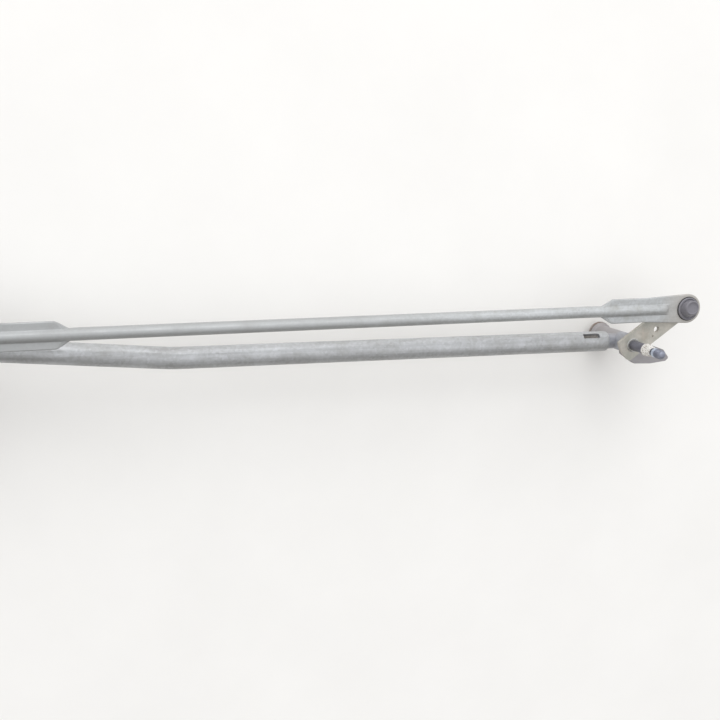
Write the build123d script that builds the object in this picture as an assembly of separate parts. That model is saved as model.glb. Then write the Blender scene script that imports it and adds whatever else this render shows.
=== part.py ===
from build123d import *
import os
from math import atan2, cos, degrees, radians, sin, sqrt

# Windshield wiper motor with its linkage frame, in millimetres, +Z towards the wiper arms.
# The origin is the centre of the middle mounting bush, in the plane of the tube axes,
# and +X runs along the long carrier tube, from the motor end to the right spindle.

# Linkage
LINK_LENGTH = 676.0        # between the two spindles, and between the balls of the coupling link
LINK_TILT = 0.6            # degrees from the long tube to the line through both spindles
LEVER_RADIUS = 63.0        # spindle axis to ball
PARK_ANGLE = 35.4          # degrees of the parked levers from +X
SWEEP = 95.0               # degrees that a lever swings
DRIVE_LENGTH = 160.0       # between the balls of the drive link
MIDDLE_LUG_REACH = 46.0    # left spindle axis to the middle mounting bush

# Carrier tubes
TUBE_OD = 20.0
TUBE_WALL = 1.5
TUBE_END_GAP = 15.8        # right spindle axis to the end of the long tube
TUBE_BEND_AT = 445.8       # right spindle axis to the corner of the bend
TUBE_BEND = 4.9            # degrees
TUBE_BEND_RADIUS = 170.0
LEFT_SHOULDER = 38.7171    # left spindle, along the tube, back to the shoulder of the long tube
LEFT_BAR_LENGTH = 76.0     # left housing between its two tube shoulders
BRACKET_REACH = 48.9653    # motor shaft, along the tube, back to the shoulder of the motor bracket
SPIGOT_LENGTH = 34.0
STAKE_LENGTH = 18.0
STAKE_WIDTH = 5.6
STAKE_FROM_END = 19.7      # tube end to the middle of the staked slot
STAKE_DEPTH = 2.2
STAKE_LIP = 1.5            # of the slot's width, covered by the pressed-in edge
STAKE_TURN = 45.0          # degrees from the top of the tube towards +Y
TUBE_SWAGE = 3.0           # length over which the rim of a tube end is rounded off

# Heights, from the plane of the tube axes
LEVER_TOP = 26.0
LEVER_THICK = 4.0
BOSS_TOP = 19.5
BOSS_END = -39.0
LINK_TOP = 36.0
DRIVE_RISE = 16.0          # drive link above the coupling link

# Spindles
SPINDLE_R = 5.0
SPINDLE_BELOW = 6.5        # below the end of the boss
SHAFT_ABOVE = 23.2         # above the lever
CONE_LENGTH = 11.4
CONE_BIG_R = 6.1
CONE_SMALL_R = 4.8
RELIEF_LENGTH = 2.2
RELIEF_R = 3.5
THREAD_R = 4.0
THREAD_LENGTH = 15.2
CLIP_GROOVE_R = 4.1
CLIP_THICK = 1.0
CLIP_R = 8.0

# Pivot housings
BOSS_R = 9.8
BOSS_FLANGE_R = 11.6
BOSS_FLANGE_THICK = 3.0
BOSS_HEAD_R = 10.5
BOSS_HEAD_THICK = 4.0
BOSS_NECK_R = 7.8          # casting between the boss and a spigot
BUSH_WALL = 2.0
BUSH_LENGTH = 14.0
WASHER_R = 10.5
WASHER_THICK = 1.9
LOWER_WASHER_R = 12.2
LOWER_WASHER_THICK = 2.0
LUG_THICK = 6.0
EAR_THICK = 7.0
EAR_HOLE_R = 3.3
EAR_RIB_END = 34.0         # spindle axis to the end of the rib under the ear
EAR_RIB_DEPTH = 20.0       # of the rib at the boss
GROMMET_SEAT_R = 9.0
GROMMET_FLANGE_R = 12.0
GROMMET_FLANGE_THICK = 3.5
SLEEVE_R = 5.0
SLEEVE_BORE_R = 3.25
LUG_R = 14.5

# Levers
LEVER_HALF_WIDTH = 11.4
LEVER_END_R = 36.0         # of the slightly curved cut beyond the spindle
LEVER_END_REACH = 13.2     # spindle axis to that cut
LEVER_HOLE = (28.9, -2.1)  # along and across the lever
LEVER_HOLE_R = 2.9
LEVER_TIP_R = 12.0
LEVER_CORNER_R = 2.0
LEVER_COLLAR_R = 6.9       # lip left round the spindle by staking
LEVER_COLLAR_HEIGHT = 0.7
LEVER_DIMPLE = (21.9, -5.3)
LEVER_DIMPLE_R = 1.1

# Ball joints
BALL_R = 6.5
BALL_RISE = 8.0            # ball centre above the lever
NECK_R = 4.0
RIVET_R = 5.6
RIVET_HEIGHT = 0.9
SOCKET_BODY_R = 9.2
SOCKET_RING_R = 11.1
SOCKET_RING_THICK = 2.0
SOCKET_CAP_R = 7.75
SOCKET_CAP_TOP = 9.0       # above the link's plate
SOCKET_SKIRT = 6.0         # below the link's plate
BOOT_R = 9.5

# Links
LINK_PLATE_THICK = 2.0
LINK_WING_HALF = 11.9
LINK_HEAD_R = 14.4
LINK_BEAD_R = 5.2
LINK_BEAD_RISE = 3.0
LINK_BEAD_FOOT = 1.6       # radius from the bead into the flat
LINK_EDGE_ROLL = 1.2       # rounding of the flat's upper edge
LINK_LEG_DEPTH = 6.0       # channel legs below the plate's top
LINK_LEG_RUN = 14.0        # length over which the legs run out at the shoulders
LINK_WALL = 1.6
LINK_WING_LENGTH = 81.0    # ball to the shoulder of the wings
LINK_SHOULDER = 11.5       # length of the curve from the wings into the channel
DRIVE_WING_LENGTH = 58.0
BEAD_END = 21.0            # ball to the foot of the ramp that ends the bead
BEAD_RAMP = 12.0

# Gearbox
SHAFT_R = 6.0
GEAR_CENTRE = 33.0         # output shaft axis to worm axis
WORM_PLANE = -20.0         # height of the worm axis
GEAR_TEETH = 56
GEAR_MODULE = 1.0
GEAR_THICK = 8.0
GEAR_HUB_R = 11.0
WORM_ROOT_R = 3.7
WORM_TIP_R = 5.6
WORM_LENGTH = 30.0
TAIL_R = 3.2               # end of the motor shaft behind and inside the worm
TAIL_BUSH_R = 6.0
TAIL_BUSH_LENGTH = 6.0
BRACKET_TOP = 4.0
BRACKET_BOTTOM = -2.0
BRACKET_RIM = 6.0
BRACKET_RIM_WIDTH = 3.0
BRACKET_PLATE_R = 34.0
BRACKET_ROOT = 9.0         # shoulder to the rounded corner of the plate
BRACKET_ROOT_R = 8.5
BRACKET_BORE_R = 20.0
SCREW_CIRCLE_R = 38.0
SCREW_R = 3.0
SCREW_HOLE_R = 3.3
SCREW_LOBE_R = 11.0
SCREW_FLATS = 10.0
SCREW_DEPTH = 14.0         # below the bracket
SCREW_ANGLES = (90.0, 210.0, 318.0)
HOUSING_R = 33.5
HOUSING_WALL = 3.0
HOUSING_ROOF = 3.5
HOUSING_BOTTOM = -36.0
SHAFT_BOSS_R = 12.0
SHAFT_BOSS_TOP = 20.0
TUNNEL_R = 11.5
TUNNEL_BORE_R = 8.0
TUNNEL_BACK = 32.0         # output shaft axis to the closed end of the worm tunnel
TUNNEL_END_WALL = 3.0
COVER_THICK = 3.0
COVER_SCREW_CIRCLE_R = 37.0
COVER_SCREW_R = 1.75
COVER_SCREW_DEPTH = 8.0    # into the gear housing
COVER_ANGLES = (35.0, 145.0, 250.0, 290.0)
CRANK_BOTTOM = 30.0
CRANK_THICK = 4.5
CRANK_HUB_R = 12.5
CRANK_END_R = 10.0
CRANK_SEAT_R = 4.6
CRANK_NUT_FLATS = 13.0

# Electric motor, along +X from the gearbox
CAN_START = 42.0           # output shaft axis to the mouth of the can
CAN_R = 29.5
CAN_FLATS = 52.0
CAN_WALL = 2.0
CAN_LENGTH = 88.0
CAN_SCREW_R = 2.5
BEARING_CUP_R = 10.0
BEARING_CUP_LENGTH = 8.0
ARMATURE_R = 20.0
ARMATURE_LENGTH = 42.0
ARMATURE_FROM_MOUTH = 24.0
ARMATURE_SLOTS = 10
MAGNET_GAP = 0.8
COMMUTATOR_R = 9.5
COMMUTATOR_LENGTH = 14.0
MOTOR_SHAFT_R = 4.0
FRONT_BEARING_R = 11.0
FRONT_BEARING_LENGTH = 9.0

# Connector on the gear cover
PLUG_LENGTH = 24.0
PLUG_WIDTH = 26.0
PLUG_HEIGHT = 18.0
PLUG_WALL = 2.0
PLUG_PINS = 5
PLUG_PITCH = 4.0

# Clearances
SEAT = 0.02                # radial, pieces that stay together
RUN = 0.04                 # radial, a shaft turning in its bush
FACE = 0.3                 # between faces that slide past each other

LEVER_BOTTOM = LEVER_TOP - LEVER_THICK
SPINDLE_END = BOSS_END - SPINDLE_BELOW
THREAD_START = LEVER_TOP + SHAFT_ABOVE + CONE_LENGTH + RELIEF_LENGTH
SPINDLE_TIP = THREAD_START + THREAD_LENGTH
BALL_Z = LEVER_TOP + BALL_RISE
DRIVE_TOP = LINK_TOP + DRIVE_RISE
UPPER_BALL_Z = BALL_Z + DRIVE_RISE
SPIGOT_R = TUBE_OD / 2 - TUBE_WALL - RUN
WORM_WHEEL_R = GEAR_TEETH * GEAR_MODULE / 2


def polar(radius, angle):
    """Point at a radius and an angle in degrees, about the origin of a plane parallel to XY."""
    return Vector(radius * cos(radians(angle)), radius * sin(radians(angle)), 0)


LEFT_PIVOT = Vector(0, MIDDLE_LUG_REACH, 0)
RIGHT_PIVOT = LEFT_PIVOT + polar(LINK_LENGTH, LINK_TILT)
LEFT_BALL = LEFT_PIVOT + polar(LEVER_RADIUS, PARK_ANGLE)
LEFT_BALL_FAR = LEFT_PIVOT + polar(LEVER_RADIUS, PARK_ANGLE + SWEEP)
RIGHT_BALL = RIGHT_PIVOT + polar(LEVER_RADIUS, PARK_ANGLE)

# The motor shaft lies on the line through both ends of the ball's swing,
# so that half a turn of the crank takes the levers from one end to the other.
SWING = LEFT_BALL_FAR - LEFT_BALL
CRANK_RADIUS = SWING.length / 2
DRIVE_ANGLE = degrees(atan2(SWING.Y, SWING.X))
CRANK_PIN = LEFT_BALL + polar(DRIVE_LENGTH, DRIVE_ANGLE)
MOTOR_AXIS = CRANK_PIN + polar(CRANK_RADIUS, DRIVE_ANGLE)
WORM_AXIS_Y = MOTOR_AXIS.Y + GEAR_CENTRE
PLUG_BACK = MOTOR_AXIS.X - HOUSING_R - 3

MOTOR_LUG = MOTOR_AXIS + Vector(-58.0, -28.0, 0)
EAR_HOLE = Vector(43.0, -16.2, 0)

BEND_POINT = RIGHT_PIVOT - Vector(TUBE_BEND_AT, 0, 0)
LEG_ANGLE = 180.0 - TUBE_BEND


def on_leg(distance):
    """Point on the axis of the bent part of the frame, at a distance from the bend's corner."""
    return BEND_POINT + polar(distance, LEG_ANGLE)


def along_leg(point):
    """Distance from the bend's corner to the foot of a point on the axis of the bent part."""
    return (point - BEND_POINT).dot(polar(1, LEG_ANGLE))


LEFT_BAR_START = along_leg(LEFT_PIVOT) - LEFT_SHOULDER
LEFT_BAR_END = LEFT_BAR_START + LEFT_BAR_LENGTH
BRACKET_SHOULDER = along_leg(MOTOR_AXIS) - BRACKET_REACH


def disc(radius, low, high, at=Vector(0, 0, 0)):
    """Upright cylinder between two heights."""
    return Pos(at.X, at.Y, low) * Cylinder(radius, high - low, align=(Align.CENTER, Align.CENTER, Align.MIN))


def ring(outer, inner, low, high, at=Vector(0, 0, 0)):
    """Upright ring between two heights."""
    return disc(outer, low, high, at) - disc(inner, low - 1, high + 1, at)


def bar(radius, start, finish):
    """Round bar between two points."""
    run = finish - start
    plane = Plane(origin=start, z_dir=run)
    return extrude(plane * Circle(radius), run.length)


def along_x(radius, start, finish, y=0.0, z=0.0):
    """Round bar along +X between two places, at a Y and a height."""
    return bar(radius, Vector(start, y, z), Vector(finish, y, z))


def plate(sketch, low, high):
    """Flat sketch made a plate between two heights."""
    return extrude(Pos(0, 0, low) * sketch, high - low, dir=(0, 0, 1))


def turned(points, at=Vector(0, 0, 0)):
    """Solid of revolution about an upright axis, from (radius, height) points."""
    outline = make_face(Polyline(*[(r, 0, z) for r, z in points], close=True))
    return Pos(at.X, at.Y, 0) * revolve(outline, Axis.Z)


def hull_of(*discs):
    """Plan outline stretched round several circles, each (point, radius)."""
    edges = [(Pos(p.X, p.Y) * Circle(r)).edge() for p, r in discs]
    return make_hull(edges)


def hexagon(flats, low, high, at=Vector(0, 0, 0)):
    """Upright hexagonal prism."""
    return plate(Pos(at.X, at.Y) * RegularPolygon(flats / 2, 6, major_radius=False), low, high)


def name_parts():
    """Every node of the assembly, by name."""
    nodes = {}
    nodes.update(frame_parts())
    nodes.update(lever_parts("right", RIGHT_PIVOT, stacked=False))
    nodes.update(lever_parts("left", LEFT_PIVOT, stacked=True))
    nodes.update(coupling_link_parts())
    nodes.update(drive_link_parts())
    nodes.update(crank_parts())
    nodes.update(gearbox_parts())
    nodes.update(motor_parts())
    return nodes


def pivot_boss(at):
    """Long bearing boss of a pivot housing, turned about the spindle axis."""
    foot = BOSS_END + BOSS_FLANGE_THICK
    head = BOSS_TOP - BOSS_HEAD_THICK
    slope = BOSS_HEAD_R - BOSS_R
    outer = turned([(0, BOSS_END), (BOSS_FLANGE_R - 0.6, BOSS_END), (BOSS_FLANGE_R, BOSS_END + 0.6),
                    (BOSS_FLANGE_R, foot), (BOSS_R - 0.6, foot + 2), (BOSS_R, head - slope),
                    (BOSS_HEAD_R, head), (BOSS_HEAD_R, BOSS_TOP - 0.5), (BOSS_HEAD_R - 0.5, BOSS_TOP),
                    (0, BOSS_TOP)], at)
    return outer


def boss_bore(at):
    """What is bored out of a pivot boss: a seat for a bush at each end, and a grease space."""
    seat_r = SPINDLE_R + RUN + BUSH_WALL + SEAT
    return (disc(SPINDLE_R + 1.0, BOSS_END - 1, BOSS_TOP + 1, at)
            + disc(seat_r, BOSS_END - 1, BOSS_END + BUSH_LENGTH, at)
            + disc(seat_r, BOSS_TOP - BUSH_LENGTH, BOSS_TOP + 1, at))


def spindle_bushes(at):
    """Two sintered bushes, one at each end of a pivot boss."""
    inner = SPINDLE_R + RUN
    outer = inner + BUSH_WALL
    return [ring(outer, inner, BOSS_END, BOSS_END + BUSH_LENGTH, at),
            ring(outer, inner, BOSS_TOP - BUSH_LENGTH, BOSS_TOP, at)]


def stake_tool(mouth, angle, depth_r):
    """Block that stands for the staking punch: over the tube wall, down to a radius from its axis."""
    height = TUBE_OD
    block = Pos(-STAKE_FROM_END, 0, depth_r) * Box(
        STAKE_LENGTH, STAKE_WIDTH, height, align=(Align.CENTER, Align.CENTER, Align.MIN))
    block = fillet(block.edges().filter_by(Axis.Z), STAKE_WIDTH * 0.3)
    return Pos(mouth) * Rot(0, 0, angle) * Rot(-STAKE_TURN, 0, 0) * block


def stake_lip(mouth, angle):
    """Edge of the tube wall pressed into the spigot's pocket on the lower side of a slot."""
    inner = TUBE_OD / 2 - TUBE_WALL
    half = STAKE_WIDTH / 2
    edge = -half + STAKE_LIP
    section = Polygon((-half - 0.4, inner + 1.0), (-half + 0.2, inner + 1.25), (edge, inner - 1.6),
                      (edge - 0.7, inner - 1.95), (-half + 0.05, inner - 0.2), (-half - 0.3, inner - 0.2),
                      align=None)
    side = Plane(origin=(-STAKE_FROM_END, 0, 0), x_dir=(0, 1, 0), z_dir=(1, 0, 0))
    lip = extrude(side * section, STAKE_LENGTH * 0.4, both=True)
    return Pos(mouth) * Rot(0, 0, angle) * Rot(-STAKE_TURN, 0, 0) * lip


def spigot(mouth, angle):
    """Round end of a casting that a tube is pushed over and staked to, with its stake pocket."""
    peg = bar(SPIGOT_R, mouth, mouth + polar(SPIGOT_LENGTH, angle + 180))
    peg = chamfer(peg.edges().group_by(Axis((0, 0, 0), tuple(polar(1, angle + 180))))[-1], 1.0)
    return peg - stake_tool(mouth, angle, TUBE_OD / 2 - TUBE_WALL - STAKE_DEPTH)


def rim_cut(mouth, angle):
    """What is taken off a tube end to round its rim, for a tube that runs back from its mouth."""
    outer, inner = TUBE_OD / 2, TUBE_OD / 2 - 0.8 * TUBE_WALL
    curve = Bezier((0, inner), (-0.3 * TUBE_SWAGE, outer), (-TUBE_SWAGE, outer))
    back = Polyline((-TUBE_SWAGE, outer), (-TUBE_SWAGE, outer + 1), (1, outer + 1), (1, inner), (0, inner))
    cut = revolve(make_face([*curve.edges(), *back.edges()]), Axis.X)
    return Pos(mouth) * Rot(0, 0, angle) * cut


def staked_end(tube, mouth, angle):
    """A tube with one of its ends rounded off, slotted, and staked into the spigot's pocket."""
    return tube - rim_cut(mouth, angle) - stake_tool(mouth, angle, 0) + stake_lip(mouth, angle)


def carrier_tube():
    """Long tube with one gentle bend, staked at both ends."""
    right_end = RIGHT_PIVOT - Vector(TUBE_END_GAP, 0, 0)
    left_end = on_leg(LEFT_BAR_START)
    path = FilletPolyline(right_end, BEND_POINT, left_end, radius=TUBE_BEND_RADIUS)
    section = Plane(origin=right_end, z_dir=(-1, 0, 0))
    tube = sweep(section * Circle(TUBE_OD / 2), path) - sweep(
        section * Circle(TUBE_OD / 2 - TUBE_WALL), path)
    return staked_end(staked_end(tube, right_end, 0.0), left_end, LEG_ANGLE)


def spacer_tube():
    """Short straight tube between the left housing and the motor bracket."""
    near, far = on_leg(LEFT_BAR_END), on_leg(BRACKET_SHOULDER)
    tube = bar(TUBE_OD / 2, near, far) - bar(TUBE_OD / 2 - TUBE_WALL, near, far)
    return staked_end(staked_end(tube, near, LEG_ANGLE + 180), far, LEG_ANGLE)


def right_housing():
    """Die-cast right pivot housing: boss, spigot, and a tapered mounting ear with its rib."""
    p = RIGHT_PIVOT
    mouth = p - Vector(TUBE_END_GAP, 0, 0)
    ear = Polygon((2, 4), (22, -2), (43, -8.6), (51.5, -11.5), (58.5, -20.5), (55, -23.6),
                  (37, -25.6), (19, -24.9), (5, -15), align=None)
    ear = plate(Pos(p.X, p.Y) * ear, -EAR_THICK, 0)
    ear = fillet(ear.edges().filter_by(Axis.Z).sort_by(Axis.X)[2:], 2.0)
    rib = extrude(Plane(origin=(p.X, p.Y, 0), x_dir=polar(1, -20), z_dir=polar(1, -110))
                  * Polygon((0, -EAR_THICK), (EAR_RIB_END, -EAR_THICK), (EAR_RIB_END - 4, -EAR_THICK - 3),
                            (0, -EAR_THICK - EAR_RIB_DEPTH), align=None),
                  2.2, both=True)
    neck = bar(BOSS_NECK_R, mouth, p)
    body = pivot_boss(p) + neck + spigot(mouth, 0.0) + ear + rib
    return body - boss_bore(p) - disc(EAR_HOLE_R, -2 * EAR_THICK, 1, p + EAR_HOLE)


def left_housing():
    """Die-cast left pivot housing: boss, a bar with a spigot at each end, and the middle lug."""
    near, far = on_leg(LEFT_BAR_START), on_leg(LEFT_BAR_END)
    centre = (near + far) * 0.5
    foot = on_leg(along_leg(LEFT_PIVOT))
    body = pivot_boss(LEFT_PIVOT) + bar(TUBE_OD / 2, near, far)
    web = hull_of((LEFT_PIVOT, BOSS_R - 1), (foot + polar(20, LEG_ANGLE), 6),
                  (foot - polar(20, LEG_ANGLE), 6))
    body += plate(web, -6, 6)
    for side in (-1, 1):
        rib_foot = centre + polar(side * 24, LEG_ANGLE)
        body += plate(hull_of((LEFT_PIVOT, 2.2), (rib_foot, 2.2)), -9, 9)
    body += plate(hull_of((LEFT_PIVOT, BOSS_R), (Vector(0, 0, 0), LUG_R)), -LUG_THICK / 2, LUG_THICK / 2)
    body += plate(hull_of((LEFT_PIVOT, 2.5), (Vector(0, LUG_R, 0), 2.5)), -9, 9)
    body -= plate(Pos(0, 0) * Circle(LUG_R), LUG_THICK / 2, 12) + plate(Circle(LUG_R), -12, -LUG_THICK / 2)
    body += spigot(near, LEG_ANGLE) + spigot(far, LEG_ANGLE + 180)
    return body - boss_bore(LEFT_PIVOT) - disc(GROMMET_SEAT_R, -LUG_THICK, LUG_THICK)


def motor_bracket():
    """Die-cast bracket: a rimmed plate round the output shaft, a spigot and a mounting lug."""
    shoulder = on_leg(BRACKET_SHOULDER)
    root = on_leg(BRACKET_SHOULDER + BRACKET_ROOT)
    lobes = [(MOTOR_AXIS + polar(SCREW_CIRCLE_R, a), SCREW_LOBE_R) for a in SCREW_ANGLES]
    outline = hull_of(*lobes, (root, BRACKET_ROOT_R), (MOTOR_AXIS, BRACKET_PLATE_R))
    body = plate(outline, BRACKET_BOTTOM, BRACKET_TOP)
    rim = plate(outline, BRACKET_TOP, BRACKET_TOP + BRACKET_RIM) - plate(
        offset(outline, -BRACKET_RIM_WIDTH), BRACKET_TOP - 1, BRACKET_TOP + BRACKET_RIM + 1)
    body += rim
    body += ring(BRACKET_BORE_R + 3, BRACKET_BORE_R, BRACKET_BOTTOM, BRACKET_TOP + 3, MOTOR_AXIS)
    body += bar(TUBE_OD / 2, shoulder, root)
    body += plate(hull_of((MOTOR_LUG, LUG_R), (MOTOR_AXIS + Vector(-26, -10, 0), 14.0)),
                  -LUG_THICK / 2 + 1, LUG_THICK / 2 + 1)
    for angle in (30.0, 150.0, 264.0):
        foot = MOTOR_AXIS + polar(BRACKET_BORE_R + 1.5, angle)
        tip = MOTOR_AXIS + polar(SCREW_CIRCLE_R - 7, angle)
        body += plate(hull_of((foot, 1.5), (tip, 1.5)), BRACKET_TOP - 1, BRACKET_TOP + 3)
    body -= disc(BRACKET_BORE_R, BRACKET_BOTTOM - 1, BRACKET_TOP + BRACKET_RIM + 1, MOTOR_AXIS)
    for centre, _ in lobes:
        body -= disc(SCREW_HOLE_R, BRACKET_BOTTOM - 1, BRACKET_TOP + 1, centre)
    body -= disc(HOUSING_R + 1, BRACKET_BOTTOM - TUBE_OD, BRACKET_BOTTOM, MOTOR_AXIS)
    body += spigot(shoulder, LEG_ANGLE)
    return body - disc(GROMMET_SEAT_R, -LUG_THICK, 2 * LUG_THICK, MOTOR_LUG)


def grommet(at, middle):
    """Rubber grommet with a flange on each side of a lug."""
    neck = LUG_THICK / 2
    lip = neck + GROMMET_FLANGE_THICK
    waist = GROMMET_SEAT_R - SEAT
    profile = [(SLEEVE_R + SEAT, middle - lip), (GROMMET_FLANGE_R - 1, middle - lip),
               (GROMMET_FLANGE_R, middle - lip + 1), (GROMMET_FLANGE_R, middle - neck - 0.05),
               (waist, middle - neck - 0.05), (waist, middle + neck + 0.05),
               (GROMMET_FLANGE_R, middle + neck + 0.05), (GROMMET_FLANGE_R, middle + lip - 1),
               (GROMMET_FLANGE_R - 1, middle + lip), (SLEEVE_R + SEAT, middle + lip)]
    return turned(profile, at)


def sleeve(at, middle):
    """Steel spacer sleeve through a grommet, with a flat flange at the top."""
    half = LUG_THICK / 2 + GROMMET_FLANGE_THICK
    return (ring(SLEEVE_R, SLEEVE_BORE_R, middle - half - 0.5, middle + half + 1.5, at)
            + ring(GROMMET_FLANGE_R - 1, SLEEVE_BORE_R, middle + half + 0.05, middle + half + 1.5, at))


def frame_parts():
    """Tubes, castings, bushes and mounting grommets, which all stand still."""
    lug_middles = [(Vector(0, 0, 0), 0.0), (MOTOR_LUG, 1.0)]
    screws = [bracket_screw(MOTOR_AXIS + polar(SCREW_CIRCLE_R, a)) for a in SCREW_ANGLES]
    return {
        "carrier_tube": carrier_tube(),
        "spacer_tube": spacer_tube(),
        "right_pivot_housing": right_housing(),
        "left_pivot_housing": left_housing(),
        "motor_bracket": motor_bracket(),
        "right_spindle_bushes": Compound(spindle_bushes(RIGHT_PIVOT)),
        "left_spindle_bushes": Compound(spindle_bushes(LEFT_PIVOT)),
        "mounting_grommets": Compound([grommet(at, middle) for at, middle in lug_middles]),
        "mounting_sleeves": Compound([sleeve(at, middle) for at, middle in lug_middles]),
        "bracket_screws": Compound(screws),
    }


def bracket_screw(at):
    """Hexagon flange screw through the bracket into the gear housing."""
    head = hexagon(SCREW_FLATS, BRACKET_TOP, BRACKET_TOP + 6, at)
    head += disc(7.0, BRACKET_TOP, BRACKET_TOP + 1.4, at)
    return head + disc(SCREW_R, BRACKET_BOTTOM - SCREW_DEPTH, BRACKET_TOP, at)


def spindle(at):
    """Spindle: bearing shaft, knurled cone, relief groove and threaded tip."""
    groove = BOSS_END - FACE - LOWER_WASHER_THICK - 0.1
    cone = LEVER_TOP + SHAFT_ABOVE
    profile = [(0, SPINDLE_END), (SPINDLE_R - 0.8, SPINDLE_END), (SPINDLE_R, SPINDLE_END + 0.8),
               (SPINDLE_R, groove - CLIP_THICK - 0.2), (CLIP_GROOVE_R, groove - CLIP_THICK - 0.2),
               (CLIP_GROOVE_R, groove), (SPINDLE_R, groove),
               (SPINDLE_R, cone - 0.5), (CONE_BIG_R, cone),
               (CONE_SMALL_R, cone + CONE_LENGTH), (RELIEF_R, cone + CONE_LENGTH + 0.4),
               (RELIEF_R, THREAD_START - 0.4), (THREAD_R, THREAD_START),
               (THREAD_R, SPINDLE_TIP - 1.2), (THREAD_R - 1.2, SPINDLE_TIP), (0, SPINDLE_TIP)]
    return turned(profile, at)


def lever(at):
    """Flat lever: a parallel strip cut in a slight curve at the spindle end, with a rounded ball end."""
    strip = Pos(LEVER_RADIUS / 2, 0) * Rectangle(2 * LEVER_RADIUS, 2 * LEVER_HALF_WIDTH)
    ends = Pos(LEVER_END_R - LEVER_END_REACH, 0) * Circle(LEVER_END_R)
    ends += Pos(LEVER_RADIUS / 2, 0) * Rectangle(LEVER_RADIUS, 4 * LEVER_HALF_WIDTH)
    ends += Pos(LEVER_RADIUS, 0) * Circle(LEVER_TIP_R)
    arm = plate((strip & ends) - Circle(SPINDLE_R + SEAT) - Pos(LEVER_RADIUS, 0) * Circle(NECK_R + SEAT)
                - Pos(*LEVER_HOLE) * Circle(LEVER_HOLE_R), LEVER_BOTTOM, LEVER_TOP)
    arm = fillet(arm.edges().filter_by(Axis.Z).filter_by(lambda e: e.center().X < LEVER_RADIUS - 2
                 and abs(abs(e.center().Y) - LEVER_HALF_WIDTH) < 0.5), LEVER_CORNER_R)
    arm -= Pos(*LEVER_DIMPLE, LEVER_TOP) * Cylinder(LEVER_DIMPLE_R, LEVER_THICK / 2)
    bore = SPINDLE_R + SEAT
    arm += turned([(bore, LEVER_TOP), (LEVER_COLLAR_R, LEVER_TOP),
                   (LEVER_COLLAR_R - 0.5, LEVER_TOP + LEVER_COLLAR_HEIGHT),
                   (bore, LEVER_TOP + LEVER_COLLAR_HEIGHT)])
    return Pos(at.X, at.Y, 0) * Rot(0, 0, PARK_ANGLE) * arm


def ball_stud(at, stacked):
    """Ball stud riveted into a lever, with a second ball above the first where two links meet."""
    balls = [BALL_Z, UPPER_BALL_Z] if stacked else [BALL_Z]
    neck = NECK_R - 0.6
    body = disc(NECK_R, LEVER_BOTTOM, LEVER_TOP) + disc(RIVET_R, LEVER_TOP, LEVER_TOP + 0.8)
    body += disc(RIVET_R - 0.6, LEVER_BOTTOM - RIVET_HEIGHT, LEVER_BOTTOM)
    body += disc(neck, LEVER_TOP, balls[-1])
    for z in balls:
        body += Pos(0, 0, z) * Sphere(BALL_R)
    flat = balls[-1] + BALL_R - 0.5
    body -= disc(BALL_R, flat, flat + 2)
    return Pos(at.X, at.Y, 0) * body


def lever_parts(side, at, stacked):
    """Spindle, lever, ball stud and the pieces that keep the spindle in its housing."""
    washer_low = BOSS_TOP + FACE
    low_top = BOSS_END - FACE
    clip_top = low_top - LOWER_WASHER_THICK - 0.2
    clip = ring(CLIP_R, CLIP_GROOVE_R + 0.05, clip_top - CLIP_THICK, clip_top)
    clip -= Pos(CLIP_R / 2 + 1, 0, clip_top) * Box(CLIP_R, 5.4, 4)
    ball = at + polar(LEVER_RADIUS, PARK_ANGLE)
    return {
        f"{side}_spindle": spindle(at),
        f"{side}_lever": lever(at),
        f"{side}_ball_stud": ball_stud(ball, stacked),
        f"{side}_thrust_washer": ring(WASHER_R, SPINDLE_R + 0.1, washer_low, washer_low + WASHER_THICK, at),
        f"{side}_lower_washer": ring(LOWER_WASHER_R, SPINDLE_R + 0.1, low_top - LOWER_WASHER_THICK, low_top,
                                     at),
        f"{side}_retaining_clip": Pos(at.X, at.Y, 0) * clip,
    }


def wing_outline(wing):
    """Plan of a link's flattened end: round head, parallel wings, shoulders that curve into the channel."""
    half, tail = LINK_WING_HALF, LINK_BEAD_R - LINK_BEAD_FOOT / 2
    start, bend, end = 0.3 * wing, wing + 0.5 * LINK_SHOULDER, wing + LINK_SHOULDER
    upper = Bezier((wing, half), (bend, half), (bend, tail), (end, tail))
    lower = Bezier((end, -tail), (bend, -tail), (bend, -half), (wing, -half))
    back = Polyline((wing, -half), (start, -half), (start, half), (wing, half))
    wings = make_face([*upper.edges(), *Line((end, tail), (end, -tail)).edges(), *lower.edges(),
                       *back.edges()])
    return wings + hull_of((Vector(0, 0, 0), LINK_HEAD_R), (Vector(wing * 0.55, 0, 0), half))


def bead_profile():
    """Section of the bead above the flat, with a radius into the flat at each side."""
    drop, foot = LINK_BEAD_R - LINK_BEAD_RISE, LINK_BEAD_FOOT
    reach = LINK_BEAD_R + foot
    spread = sqrt(reach ** 2 - (foot + drop) ** 2)
    touch = (spread * LINK_BEAD_R / reach, (foot + drop) * LINK_BEAD_R / reach - drop)
    base = Polygon((-spread, -LINK_WALL / 2), (spread, -LINK_WALL / 2), (spread, 0), touch,
                   (-touch[0], touch[1]), (-spread, 0), align=None)
    return base - Pos(spread, foot) * Circle(foot) - Pos(-spread, foot) * Circle(foot)


def ramp(start, top):
    """Everything above the sloping line on which the bead rises from the flat."""
    line = Polygon((start - 2 * BEAD_RAMP, top - 2 * LINK_BEAD_RISE),
                   (start + 3 * BEAD_RAMP, top + 3 * LINK_BEAD_RISE),
                   (start - 2 * BEAD_RAMP, top + 3 * LINK_BEAD_RISE), align=None)
    return extrude(Plane.XZ * line, 2 * LINK_WING_HALF, both=True)


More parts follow.
